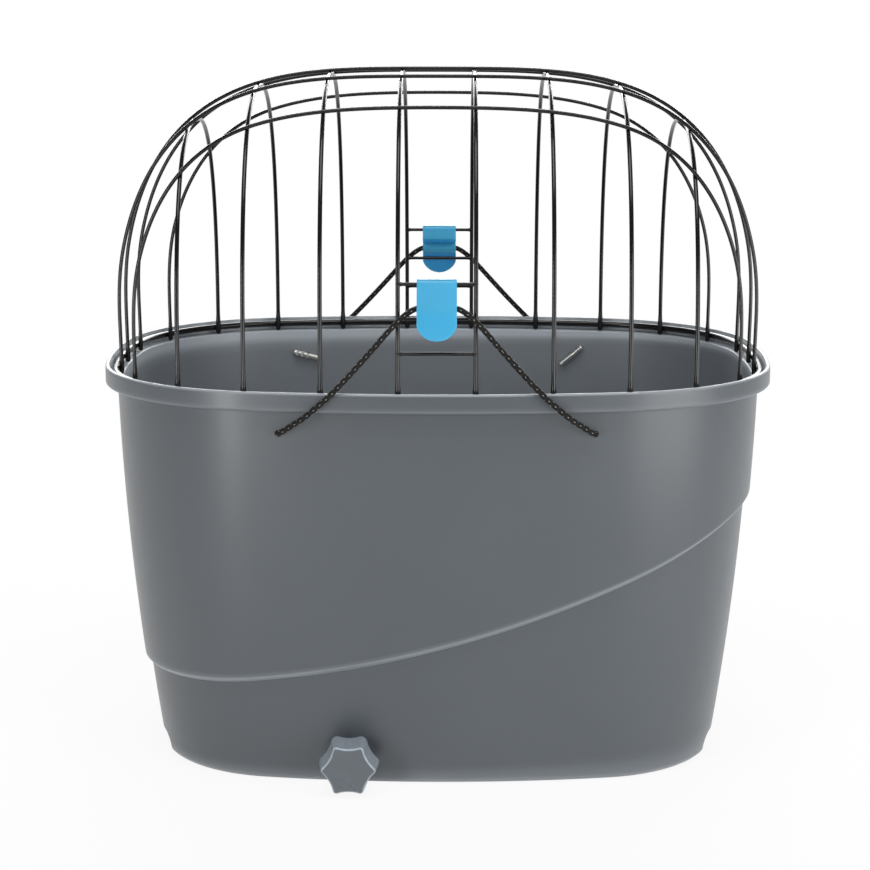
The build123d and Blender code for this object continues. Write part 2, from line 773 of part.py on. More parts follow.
with BuildPart() as floor_rivets:
    with BuildSketch(Plane.XY.offset(web_bottom)):
        with Locations(*rivet_places):
            Circle(rivet_diameter / 2)
    extrude(amount=floor_top - web_bottom)
    for height, direction in ((floor_top, 1), (web_bottom, -1)):
        with BuildSketch(Plane.XY.offset(height)):
            with Locations(*rivet_places):
                Circle(rivet_head / 2)
        extrude(amount=direction * rivet_head_height)
    fillet(floor_rivets.faces().sort_by(Axis.Z)[-len(rivet_places):].edges(), rivet_head_rounding)
floor_rivets.part.label = "floor_rivets"
export_step(floor_rivets.part, "parts/floor_rivets.step")
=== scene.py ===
"""Finishes the bicycle pet basket: a moulded tub, coated wires, clips, braided cords and clamps.

Every shape is worked out as whole arrays, in metres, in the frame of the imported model.
"""

import math

import bpy
import numpy as np
from mathutils import Matrix, Vector


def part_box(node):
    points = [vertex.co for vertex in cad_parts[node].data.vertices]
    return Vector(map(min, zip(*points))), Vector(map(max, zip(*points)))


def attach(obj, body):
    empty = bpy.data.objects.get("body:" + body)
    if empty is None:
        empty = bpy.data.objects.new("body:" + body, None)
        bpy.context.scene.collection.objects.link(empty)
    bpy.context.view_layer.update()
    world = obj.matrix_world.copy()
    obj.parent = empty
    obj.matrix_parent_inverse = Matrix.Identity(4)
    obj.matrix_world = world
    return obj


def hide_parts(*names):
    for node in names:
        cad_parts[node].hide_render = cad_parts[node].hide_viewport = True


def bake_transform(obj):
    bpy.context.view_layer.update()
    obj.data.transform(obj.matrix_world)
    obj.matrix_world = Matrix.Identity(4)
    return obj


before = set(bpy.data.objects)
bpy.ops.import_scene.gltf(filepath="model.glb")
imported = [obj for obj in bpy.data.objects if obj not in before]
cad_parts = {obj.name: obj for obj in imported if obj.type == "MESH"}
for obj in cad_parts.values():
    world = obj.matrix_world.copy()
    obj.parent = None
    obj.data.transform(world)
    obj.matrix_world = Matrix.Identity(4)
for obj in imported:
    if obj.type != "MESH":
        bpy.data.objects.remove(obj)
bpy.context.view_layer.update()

bl_info = {
    "name": "Bicycle pet basket",
    "version": (1, 0, 0),
    "blender": (4, 5, 0),
    "location": "View3D > Sidebar > Basket",
    "description": "Makes the tub, wire cage, clips, cords and clamps of a bicycle pet basket",
    "category": "Object",
}

TUB_HIGH = np.array(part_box("tub")[1])
PHOTO_SIDE = 870
ENDS = (("front", -1.0), ("rear", 1.0))

# Places and sizes of the solids that the pieces meet, in metres
HOLE_X, HOLE_Z, HOLE_RADIUS = 0.104, 0.2474, 0.00225
CLAMP_X, CLAMP_Z, SHAFT_HOLE = 0.059, 0.02, 0.0043
BOSS_FACE, BOSS_FOOT, BOSS_RADIUS = 0.1490, 0.1420, 0.01
SLOT_HALF, SLOT_TOP, SLOT_CORNER = 0.082, 0.0145, 0.009
RUNG_HEIGHTS = (0.025, 0.0474, 0.070)
WELD = 0.00015
RING_DROP = 0.004

# Lean of a clip's strap, in degrees
STRAP_LEAN = 26.0

# Rows, columns and spacings of the meshes
PLAN_STEPS = (40, 30, 26)
RING_STEPS = (60, 40, 40)
CAP_ROWS = 5
FOOT_ROWS = 8
LEG_ROWS = 5
WIRE_SIDES = 14
WIRE_STEP = 0.0035
CORD_STEP = 0.0012
KNOB_SIDES = 240

# The step's outline: inward and upward, as shares of its depth
STEP_OUTLINE = np.array([
    [0.0, 0.0], [0.12, 0.01], [0.25, 0.07], [0.38, 0.17], [0.52, 0.31],
    [0.66, 0.46], [0.80, 0.61], [0.90, 0.73], [0.97, 0.86], [1.0, 1.04],
])


# Settings that a user would change


def length(name, description, default):
    """A property that holds a length in metres."""
    return bpy.props.FloatProperty(
        name=name, description=description, default=default, min=0.0, unit="LENGTH", precision=5
    )


def colour(name, description, default):
    """A property that holds a colour."""
    return bpy.props.FloatVectorProperty(
        name=name, description=description, default=default, size=3, min=0.0, max=1.0, subtype="COLOR"
    )


def share(name, description, default):
    """A property that holds a number from 0 to 1."""
    return bpy.props.FloatProperty(name=name, description=description, default=default, min=0.0, max=1.0)


class TubSettings(bpy.types.PropertyGroup):
    half_length: length("Half length", "Half of the rim's length", float(TUB_HIGH[0]))
    half_depth: length("Half depth", "Half of the rim's depth", float(TUB_HIGH[1]))
    height: length("Height", "Height of the rim's top", float(TUB_HIGH[2]))
    side_arc: length("Side arc", "Radius of the long sides in plan", 0.746)
    end_arc: length("End arc", "Radius of the ends in plan", 0.521)
    corner_arc: length("Corner arc", "Radius of the corners in plan", 0.1296)
    band: length("Rim band", "Height of the band round the rim", 0.013)
    ledge_drop: length("Ledge drop", "How far the ledge lies under the rim", 0.009)
    lip_top: length("Lip top", "Thickness of the lip at its top", 0.0029)
    lip_foot: length("Lip foot", "Thickness of the lip where it meets the ledge", 0.0049)
    overhang: length("Overhang", "How far the band stands out from the wall", 0.0084)
    wall: length("Wall", "Thickness of the wall", 0.004)
    step: length("Step", "How far the upper wall stands proud of the lower one", 0.0039)
    slope: share("Wall slope", "Draw-in of the wall for its height, at the top", 0.0287)
    bulge_radius: length("Bulge radius", "Radius of the wall's bulge from top to bottom", 2.04)
    depth_share: share("Depth share", "Taper of the long sides as a share of the ends' taper", 0.92)
    swoosh_radius: length("Swoosh radius", "Radius of the swooping edge in side view", 0.928)
    swoosh_left: length("Swoosh left", "Height of the swooping edge at the left end", 0.065)
    swoosh_right: length("Swoosh right", "Height of the swooping edge at the right end", 0.1932)
    floor_top: length("Floor top", "Height of the floor inside", 0.0335)
    floor_bottom: length("Floor bottom", "Height of the floor's underside", 0.030)
    foot_height: length("Foot height", "Height of the foot flange", 0.006)
    foot_width: length("Foot width", "Width of the foot flange", 0.011)
    colour: colour("Plastic", "Colour of the tub's plastic", (0.084, 0.096, 0.107))
    # Colour of the painted light on the tub's edges, lip, ledge and inside
    lip_colour: colour("Lip", "Colour of the plastic where it is worn", (0.49, 0.53, 0.57))


class CageSettings(bpy.types.PropertyGroup):
    height: length("Dome height", "Height of the cross arches' centres above the rim", 0.199)
    length_power: bpy.props.FloatProperty(
        name="Length power", description="Fullness of the dome along the basket", default=3.6
    )
    depth_power: bpy.props.FloatProperty(
        name="Depth power", description="Fullness of the dome across the basket", default=2.6
    )
    height_power: bpy.props.FloatProperty(
        name="Height power", description="Fullness of the dome towards its top", default=2.65
    )
    leg_inset: length("Leg inset", "How far inside the rim's outline the legs stand", 0.0111)
    spacing: length("Cross spacing", "Distance between cross arches", 0.0507)
    outer_spacing: length("Outer spacing", "Distance from the outermost cross arch to its neighbour", 0.0453)
    rail_spacing: length("Long spacing", "Distance between long arches", 0.051)
    ring_wire: length("Ring wire", "Diameter of the base ring's wire", 0.0045)
    cross_wire: length("Cross wire", "Diameter of the cross arches' wire", 0.003)
    long_wire: length("Long wire", "Diameter of the long arches' wire", 0.0026)
    rung_wire: length("Rung wire", "Diameter of the rungs' wire", 0.0024)
    colour: colour("Coating", "Colour of the wires' coating", (0.0075, 0.0062, 0.006))


class ClipSettings(bpy.types.PropertyGroup):
    width: length("Width", "Width of a clip", 0.026)
    thickness: length("Thickness", "Thickness of a clip", 0.002)
    colour: colour("Clip", "Colour of the clips", (0.066, 0.425, 0.69))


class CordSettings(bpy.types.PropertyGroup):
    diameter: length("Diameter", "Diameter of the elastic cords", 0.0038)
    colour: colour("Cord", "Colour of the cords' braid", (0.006, 0.005, 0.0045))
    fleck: colour("Fleck", "Colour of the light threads in the braid", (0.42, 0.40, 0.35))


class ClampSettings(bpy.types.PropertyGroup):
    waist: length("Knob waist", "Radius of the knob between its lobes, at the back", 0.0170)
    scallop: length("Scallop", "Radius of the hollows between the lobes", 0.022)
    lobe: length("Lobe rounding", "Rounding of the lobes at the back", 0.0045)
    draft: share("Draft", "Taper of the knob's sides, as a slope", 0.105)
    edge: length("Face edge", "Rounding of the knob's face", 0.0014)
    colour: colour("Knob", "Colour of the knobs", (0.115, 0.131, 0.149))
    steel: colour("Steel", "Colour of the plated steel", (0.55, 0.55, 0.53))


class StageSettings(bpy.types.PropertyGroup):
    focal_pixels: bpy.props.FloatProperty(
        name="Focal length", description="Focal length in pixels of the 870 pixel frame", default=2340.9
    )
    centre_x: bpy.props.FloatProperty(name="Centre X", description="Column of the lens axis", default=441.2)
    centre_y: bpy.props.FloatProperty(name="Centre Y", description="Row of the lens axis", default=435.5)
    pitch: bpy.props.FloatProperty(
        name="Pitch", description="How far the camera looks down", default=0.1948, subtype="ANGLE"
    )
    yaw: bpy.props.FloatProperty(
        name="Yaw", description="Turn of the camera", default=0.0039, subtype="ANGLE"
    )
    roll: bpy.props.FloatProperty(
        name="Roll", description="Tilt of the frame", default=0.0013, subtype="ANGLE"
    )
    distance: length("Distance", "Distance of the camera in front of the basket", 1.6677)
    camera_height: length("Camera height", "Height of the camera", 0.543)
    camera_side: length("Camera side", "How far right the camera stands", 0.0088)


SETTINGS = {
    "tub": TubSettings,
    "cage": CageSettings,
    "clip": ClipSettings,
    "cord": CordSettings,
    "clamp": ClampSettings,
    "stage": StageSettings,
}


def setting(group):
    """The settings of a group of pieces."""
    return getattr(bpy.context.scene, "basket_" + group)


# Meshes from arrays


def add_object(name, mesh, body, slot_name=None, *replaced):
    """Links a mesh as a piece that rides on a body and stands for CAD nodes."""
    piece = bpy.data.objects.new(name, mesh)
    bpy.context.scene.collection.objects.link(piece)
    if replaced:
        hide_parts(*replaced)
    if body:
        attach(piece, body)
    return piece


def grid_mesh(name, points, close_rows=False, close_columns=True, uv=None, poles=False):
    """A mesh over a grid of points, rows by columns, with quads between neighbours.

    Poles are a first and a last row that are one point each, met by triangles. uv gives the two
    numbers of the map for each grid point, and what the first one adds up to round a row.
    """
    rows, columns = points.shape[:2]
    index = np.arange(rows * columns).reshape(rows, columns)
    wide = np.concatenate([index, index[:, :1]], axis=1) if close_columns else index
    tall = np.concatenate([wide, wide[:1]], axis=0) if close_rows else wide
    quads = np.stack([tall[:-1, :-1], tall[:-1, 1:], tall[1:, 1:], tall[1:, :-1]], axis=-1)
    step_u = np.broadcast_to(np.arange(columns + 1) / columns, (rows + 1, columns + 1))
    step_v = np.broadcast_to(np.arange(rows + 1)[:, None] / rows, (rows + 1, columns + 1))
    around = step_u[: tall.shape[0], : tall.shape[1]]
    along = step_v[: tall.shape[0], : tall.shape[1]]
    if uv is not None:
        around = np.concatenate([uv[0], uv[0][:, :1] + uv[2]], axis=1) if close_columns else uv[0]
        along = np.concatenate([uv[1], uv[1][:, :1]], axis=1) if close_columns else uv[1]
    corners = ((0, 0), (0, 1), (1, 1), (1, 0))
    low, wide_end = quads.shape[:2]
    uvs = np.stack(
        [
            np.stack([around[a:a + low, b:b + wide_end], along[a:a + low, b:b + wide_end]], axis=-1)
            for a, b in corners
        ],
        axis=2,
    )
    body = slice(1, low - 1) if poles else slice(0, low)
    loops = [quads[body].ravel()]
    loop_uv = [uvs[body].reshape(-1, 2)]
    totals = [np.full(quads[body].size // 4, 4)]
    for row, kept, tip in ((0, [0, 2, 3], 0), (-1, [0, 1, 2], 2)) if poles else ():
        fan = quads[row][:, kept].copy()
        fan[:, tip] = index[row, 0]
        loops.append(fan.ravel())
        loop_uv.append(uvs[row][:, kept].reshape(-1, 2))
        totals.append(np.full(len(fan), 3))
    loops = np.concatenate(loops)
    totals = np.concatenate(totals)
    used, compact = np.unique(loops, return_inverse=True)
    places = points.reshape(-1, 3)[used]
    mesh = bpy.data.meshes.new(name)
    mesh.vertices.add(len(places))
    mesh.vertices.foreach_set("co", places.astype(np.float32).ravel())
    mesh.loops.add(len(compact))
    mesh.loops.foreach_set("vertex_index", compact.ravel().astype(np.int32))
    mesh.polygons.add(len(totals))
    starts = np.concatenate([[0], np.cumsum(totals)[:-1]])
    mesh.polygons.foreach_set("loop_start", starts.astype(np.int32))
    mesh.update(calc_edges=True)
    layer = mesh.uv_layers.new(name="UVMap")
    layer.data.foreach_set("uv", np.concatenate(loop_uv).astype(np.float32).ravel())
    mesh.validate()
    mesh.shade_smooth()
    return mesh


def smooth(t):
    """The smooth step from 0 to 1: 3 t squared minus 2 t cubed."""
    return t * t * (3.0 - 2.0 * t)


def along_path(points):
    """Distance along a path at each of its points."""
    steps = np.linalg.norm(np.diff(points, axis=0), axis=1)
    return np.concatenate([[0.0], np.cumsum(steps)])


def even(points, spacing):
    """The path again, with its points evenly spaced."""
    reach = along_path(points)
    count = max(int(round(reach[-1] / spacing)), 4)
    places = np.linspace(0.0, reach[-1], count + 1)
    return np.stack([np.interp(places, reach, points[:, axis]) for axis in range(3)], axis=1)


def tube(name, path, radius, sides, beside, closed=False):
    """A tube round a path: circles square to it, whose radius may vary along it.

    Each circle is centre + radius (cos a, across + sin a, up), where across is square to the
    path and to the direction called beside. Open ends are round, as the radius falls to
    nothing as the square root of 1 - t squared over the last stretch.
    """
    tangent = np.roll(path, -1, axis=0) - np.roll(path, 1, axis=0) if closed else np.gradient(path, axis=0)
    tangent /= np.linalg.norm(tangent, axis=1)[:, None]
    across = np.cross(tangent, np.broadcast_to(beside, tangent.shape))
    across /= np.linalg.norm(across, axis=1)[:, None]
    up = np.cross(across, tangent)
    radius = np.broadcast_to(radius, len(path)).astype(float)
    reach = along_path(path)
    if not closed:
        turn = np.linspace(0.0, 1.0, CAP_ROWS + 1)[:-1]
        fall = np.sqrt(1.0 - (1.0 - turn) ** 2)
        before, after = radius[0] * (1.0 - turn), radius[-1] * (1.0 - turn[::-1])
        start = path[0] - tangent[0] * before[:, None]
        end = path[-1] + tangent[-1] * after[:, None]
        reach = np.concatenate([reach[0] - before, reach, reach[-1] + after])
        path = np.concatenate([start, path, end])
        radius = np.concatenate([radius[0] * fall, radius, radius[-1] * fall[::-1]])
        across, up = (
            np.concatenate([np.repeat(part[:1], CAP_ROWS, 0), part, np.repeat(part[-1:], CAP_ROWS, 0)])
            for part in (across, up)
        )
    angle = np.linspace(0.0, 2.0 * np.pi, sides, endpoint=False)
    ring = across[:, None] * np.cos(angle)[None, :, None] + up[:, None] * np.sin(angle)[None, :, None]
    points = path[:, None] + ring * radius[:, None, None]
    around = np.broadcast_to(angle / (2.0 * np.pi), points.shape[:2])
    distance = np.broadcast_to(reach[:, None], points.shape[:2])
    uv = None if closed else (around, distance, 1.0)
    return grid_mesh(name, points, close_rows=closed, uv=uv, poles=not closed)


def turned(name, profile, centre, axis, sides, ripple=None):
    """A turned shape: profile gives (distance along the axis, radius) and goes round it."""
    axis = np.array(axis, float) / np.linalg.norm(axis)
    helper = np.array([1.0, 0.0, 0.0]) if abs(axis[0]) < 0.8 else np.array([0.0, 0.0, 1.0])
    across = np.cross(axis, helper)
    across /= np.linalg.norm(across)
    up = np.cross(axis, across)
    profile = np.array(profile, float)
    angle = np.linspace(0.0, 2.0 * np.pi, sides, endpoint=False)
    radius = np.broadcast_to(profile[:, 1:2], (len(profile), sides)).copy()
    if ripple is not None:
        radius *= ripple(profile[:, :1], angle[None])
    ring = across * np.cos(angle)[:, None] + up * np.sin(angle)[:, None]
    points = np.array(centre) + axis * profile[:, :1, None] + ring[None] * radius[:, :, None]
    return grid_mesh(name, points, poles=True)


def corner_round(centre, radius, start, end, count):
    """Points on an arc in a profile, from a start angle to an end angle in degrees."""
    angle = np.radians(np.linspace(start, end, count))
    return np.stack([centre[0] + radius * np.cos(angle), centre[1] + radius * np.sin(angle)], axis=1)


# The oval plan


def taper(height):
    """Draw-in of the bulging wall at a height: slope times drop plus drop squared over twice the radius."""
    tub = setting("tub")
    drop = np.maximum(tub.height - tub.band - height, 0.0)
    return tub.slope * drop + drop ** 2 / (2.0 * tub.bulge_radius)


def oval_parts(inset, drawn_in):
    """Centres and radii of an oval's side, corner and end arcs, for arrays of insets."""
    tub = setting("tub")
    inset = np.asarray(inset, float)
    drawn_in = np.asarray(drawn_in, float)
    half_length = tub.half_length - inset - drawn_in
    half_depth = tub.half_depth - inset - drawn_in * tub.depth_share
    side = tub.side_arc - inset - drawn_in * tub.depth_share
    end = tub.end_arc - inset - drawn_in
    corner = tub.corner_arc - inset - drawn_in
    side_y = side - half_depth
    end_x = half_length - end
    gap = np.hypot(end_x, side_y)
    unit_x, unit_y = end_x / gap, -side_y / gap
    along = ((side - corner) ** 2 - (end - corner) ** 2 + gap ** 2) / (2.0 * gap)
    beside = np.sqrt((side - corner) ** 2 - along ** 2)
    corner_x = unit_x * along - unit_y * beside
    corner_y = side_y + unit_y * along + unit_x * beside
    flip = corner_y > 0.0
    corner_x = np.where(flip, unit_x * along + unit_y * beside, corner_x)
    corner_y = np.where(flip, side_y + unit_y * along - unit_x * beside, corner_y)
    return side_y, side, corner_x, corner_y, corner, end_x, end


def half_depth_at(x, inset, drawn_in=0.0):
    """Half depth of an oval at distances along it: the arc that x lies on, solved for y."""
    side_y, side, corner_x, corner_y, corner, end_x, end = oval_parts(inset, drawn_in)
    x = np.abs(x)
    turn = np.arctan2(corner_y - side_y, corner_x)
    side_end = side * np.cos(turn)
    end_turn = np.arctan2(corner_y, corner_x - end_x)
    corner_end = end_x + end * np.cos(end_turn)
    on_side = np.sqrt(np.maximum(side ** 2 - x ** 2, 0.0)) - side_y
    on_corner = np.sqrt(np.maximum(corner ** 2 - (x - corner_x) ** 2, 0.0)) - corner_y
    on_end = np.sqrt(np.maximum(end ** 2 - (x - end_x) ** 2, 0.0))
    return np.where(x <= side_end, on_side, np.where(x <= corner_end, on_corner, on_end))


def half_length_at(y, inset):
    """Half length of an oval at a distance across it, by halving the span of x."""
    low, high = 0.0, setting("tub").half_length - inset
    for _ in range(50):
        middle = (low + high) / 2.0
        if half_depth_at(middle, inset) > abs(y):
            low = middle
        else:
            high = middle
    return low


def oval_points(inset, drawn_in, steps=PLAN_STEPS):
    """Points of ovals, one row for each inset and one column for each place round the plan.

    A quarter runs over its side, corner and end arcs by equal angles, and is mirrored twice.
    Insets and draw-ins may also change from column to column.
    """
    side_y, side, corner_x, corner_y, corner, end_x, end = oval_parts(inset, drawn_in)
    side_steps, corner_steps, end_steps = steps
    quarter = sum(steps)
    place = np.arange(4 * quarter)
    fold = place % (2 * quarter)
    step = np.where(fold <= quarter, fold, 2 * quarter - fold)
    turn = np.arctan2(corner_y - side_y, corner_x)
    end_turn = np.arctan2(corner_y, corner_x - end_x)
    down = -np.pi / 2.0
    a = down + (turn - down) * (step / side_steps)
    b = turn + (end_turn - turn) * ((step - side_steps) / corner_steps)
    c = end_turn * (1.0 - (step - side_steps - corner_steps) / end_steps)
    on_side, on_corner = step < side_steps, step < side_steps + corner_steps
    x = np.where(on_corner, corner_x + corner * np.cos(b), end_x + end * np.cos(c))
    y = np.where(on_corner, corner_y + corner * np.sin(b), end * np.sin(c))
    x = np.where(on_side, side * np.cos(a), x)
    y = np.where(on_side, side_y + side * np.sin(a), y)
    quadrant = place // quarter
    sign_y = np.where((quadrant == 1) | (quadrant == 2), -1.0, 1.0)
    sign_x = np.where(place > 2 * quarter, -1.0, 1.0)
    return x * sign_x, y * sign_y


# Materials


def node_adder(tree):
    """A function that adds a node to a tree and sets what it is told."""

    def add(kind, **values):
        node = tree.nodes.new(kind)
        for key, value in values.items():
            setattr(node, key, value)
        return node

    return add


def math_adder(tree):
    """A function that adds a math node over sockets and numbers, and gives its result."""

    def calc(operation, *values):
        node = tree.nodes.new("ShaderNodeMath")
        node.operation = operation
        for socket, value in zip(node.inputs, values):
            if isinstance(value, (int, float)):
                socket.default_value = value
            else:
                tree.links.new(value, socket)
        return node.outputs[0]

    return calc


def new_material(name):
    """A material with its shader, and a function that adds nodes."""
    material = bpy.data.materials.new(name)
    material.use_nodes = True
    tree = material.node_tree
    return material, tree, tree.nodes["Principled BSDF"], node_adder(tree)


def object_noise(tree, add, scale, detail=3.0, stretch=(1.0, 1.0, 1.0)):
    """Noise on Object coordinates, stretched along the axes."""
    place = add("ShaderNodeTexCoord")
    mapping = add("ShaderNodeMapping")
    mapping.inputs["Scale"].default_value = stretch
    noise = add("ShaderNodeTexNoise")
    noise.inputs["Scale"].default_value = scale
    noise.inputs["Detail"].default_value = detail
    tree.links.new(place.outputs["Object"], mapping.inputs["Vector"])
    tree.links.new(mapping.outputs["Vector"], noise.inputs["Vector"])
    return noise.outputs["Fac"]


def ramp(tree, add, source, *stops):
    """A colour ramp over a source, through stops that each give a place and a colour."""
    node = add("ShaderNodeValToRGB")
    ends = node.color_ramp.elements
    ends[0].position, ends[1].position = stops[0][0], stops[-1][0]
    ends[0].color, ends[1].color = (*stops[0][1], 1.0), (*stops[-1][1], 1.0)
    for place, tint in stops[1:-1]:
        ends.new(place).color = (*tint, 1.0)
    tree.links.new(source, node.inputs["Fac"])
    return node.outputs["Color"]


def map_range(tree, add, source, low, high, to_low=0.0, to_high=1.0):
    """A source's range from low to high, stretched over another range."""
    node = add("ShaderNodeMapRange")
    for key, value in (("From Min", low), ("From Max", high), ("To Min", to_low), ("To Max", to_high)):
        node.inputs[key].default_value = value
    tree.links.new(source, node.inputs["Value"])
    return node.outputs["Result"]


def mix_in(tree, add, socket, weight, base, pale):
    """Mixes another colour into a base colour by a weight, into a socket."""
    mix = add("ShaderNodeMix", data_type="RGBA")
    mix.inputs[7].default_value = (*pale, 1.0)
    tree.links.new(weight, mix.inputs[0])
    tree.links.new(base, mix.inputs[6])
    tree.links.new(mix.outputs[2], socket)


def bump(tree, add, shader, height, distance):
    """A bump on the shader's normal."""
    node = add("ShaderNodeBump")
    node.inputs["Strength"].default_value = 1.0
    node.inputs["Distance"].default_value = distance
    tree.links.new(height, node.inputs["Height"])
    tree.links.new(node.outputs["Normal"], shader.inputs["Normal"])


def scaled(colour_value, factor):
    """A colour made lighter or darker."""
    return tuple(min(part * factor, 1.0) for part in colour_value)


def moulded_plastic(name, base, roughness, grain, mottle=0.04, specular=0.5):
    """Moulded plastic: a faint mottle of colour, satin roughness and a fine spark-eroded grain."""
    material, tree, shader, add = new_material(name)
    cloud = object_noise(tree, add, 9.0, detail=4.0)
    tint = ramp(tree, add, cloud, (0.3, scaled(base, 1.0 - mottle)), (0.7, scaled(base, 1.0 + mottle)))
    tree.links.new(tint, shader.inputs["Base Color"])
    patch = object_noise(tree, add, 60.0, detail=2.0)
    spread = map_range(tree, add, patch, 0.0, 1.0, roughness - 0.03, roughness + 0.03)
    tree.links.new(spread, shader.inputs["Roughness"])
    shader.inputs["Specular IOR Level"].default_value = specular
    bump(tree, add, shader, object_noise(tree, add, 2600.0, detail=1.0), grain)
    return material


def painted_light_bands(name, plastic, pale, bands, inside):
    """The same plastic with painted light in bands: painted highlights and bounce light, even on the foot,
    the step, the rim's edges and the ledge, a paler inside, and blotchy on the lip.

    The tub's map has the place in the profile as its height. A ramp over it gives the even
    part in red and the blotchy part in green, and all that lies above the lip is the inside.
    """
    material = plastic.copy()
    material.name = name
    tree = material.node_tree
    add = node_adder(tree)
    shader = tree.nodes["Principled BSDF"]
    tint = shader.inputs["Base Color"].links[0].from_socket
    place = add("ShaderNodeUVMap")
    split = add("ShaderNodeSeparateXYZ")
    tree.links.new(place.outputs["UV"], split.inputs["Vector"])
    foot, foot_end = bands["foot"]
    step, step_end = bands["step"]
    under, crest, lip, lip_end, corner = bands["rim"]
    gap = (lip_end - lip) / 6.0
    # Even shares of painted light: bounce light on the foot, the step and the band's lower edge, a painted
    # highlight on the crest and the ledge, and a paler inside
    even_on_foot, even_on_step, even_under, even_on_crest = 0.4, 0.42, 0.16, 0.6
    shares = (
        (0.0, 0.0, 0.0),
        (foot, 0.0, 0.0), ((foot + foot_end) / 2.0, even_on_foot, 0.0), (foot_end, 0.0, 0.0),
        (step, 0.0, 0.0), (step + gap, even_on_step, 0.0), (step_end - gap, even_on_step, 0.0),
        (step_end, 0.0, 0.0), (under, 0.0, 0.0), (under + 6.0 * gap, even_under, 0.0),
        (under + 10.0 * gap, 0.0, 0.0), (crest, 0.0, 0.0), (crest + 4.0 * gap, even_on_crest, 0.0),
        (lip - gap, even_on_crest, 0.0), (lip, 0.0, 1.0), (lip_end, 0.0, 1.0),
        (lip_end + gap, inside, 0.0), (corner - gap, inside, 0.0), (corner, 1.0, 0.0),
        (corner + 9.0 * gap, 1.0, 0.0), (corner + 10.0 * gap, inside, 0.0),
    )
    stops = ((at, (evenly, blotchy, 0.0)) for at, evenly, blotchy in shares)
    band = ramp(tree, add, split.outputs["Y"], *stops)
    parts = add("ShaderNodeSeparateColor")
    tree.links.new(band, parts.inputs[0])
    # Noise that breaks up the painted highlight on the lip into blotches
    lit = map_range(tree, add, object_noise(tree, add, 38.0, detail=5.0), 0.25, 0.65, 0.45, 1.0)
    weight = math_adder(tree)("MULTIPLY_ADD", parts.outputs[1], lit, parts.outputs[0])
    mix_in(tree, add, shader.inputs["Base Color"], weight, tint, pale)
    return material


def painted_light_flank(material, pale, face, rim):
    """Paints light on a knob's plastic: paler on the flank for its lit sides, and palest on its edge as a
    painted highlight.

    The share of the pale colour is a half along the flank, one on the rounded edge and none on
    the face. Its place is the distance from the basket's middle, to the front or the rear.
    """
    tree = material.node_tree
    add = node_adder(tree)
    shader = tree.nodes["Principled BSDF"]
    tint = shader.inputs["Base Color"].links[0].from_socket
    coords = add("ShaderNodeTexCoord")
    split = add("ShaderNodeSeparateXYZ")
    tree.links.new(coords.outputs["Object"], split.inputs["Vector"])
    outward = math_adder(tree)("ABSOLUTE", split.outputs["Y"])
    flank = map_range(tree, add, outward, face - 2.0 * rim, face)
    shares = ((0.0, 0.5), (0.5, 0.5), (0.65, 1.0), (0.9, 1.0), (1.0, 0.0))
    # Painted light on the flank and a painted highlight on the rounded edge
    flank_light = ramp(tree, add, flank, *((at, (part, part, part)) for at, part in shares))
    mix_in(tree, add, shader.inputs["Base Color"], flank_light, tint, pale)


def coated_wire(name, base):
    """Dipped coating on wire: near black and glossy, smoother in some places than in others."""
    material, tree, shader, add = new_material(name)
    shader.inputs["Base Color"].default_value = (*base, 1.0)
    spread = map_range(tree, add, object_noise(tree, add, 60.0, detail=2.0), 0.0, 1.0, 0.14, 0.24)
    tree.links.new(spread, shader.inputs["Roughness"])
    return material


def plated_steel(name, base, roughness=0.32):
    """Zinc plated steel: metal with brushed streaks and soft patches."""
    material, tree, shader, add = new_material(name)
    shader.inputs["Metallic"].default_value = 1.0
    cloud = object_noise(tree, add, 90.0)
    tint = ramp(tree, add, cloud, (0.3, scaled(base, 0.82)), (0.7, scaled(base, 1.08)))
    tree.links.new(tint, shader.inputs["Base Color"])
    streak = object_noise(tree, add, 500.0, detail=2.0, stretch=(1.0, 0.06, 1.0))
    spread = map_range(tree, add, streak, 0.0, 1.0, roughness - 0.08, roughness + 0.12)
    tree.links.new(spread, shader.inputs["Roughness"])
    bump(tree, add, shader, streak, 0.00005)
    return material


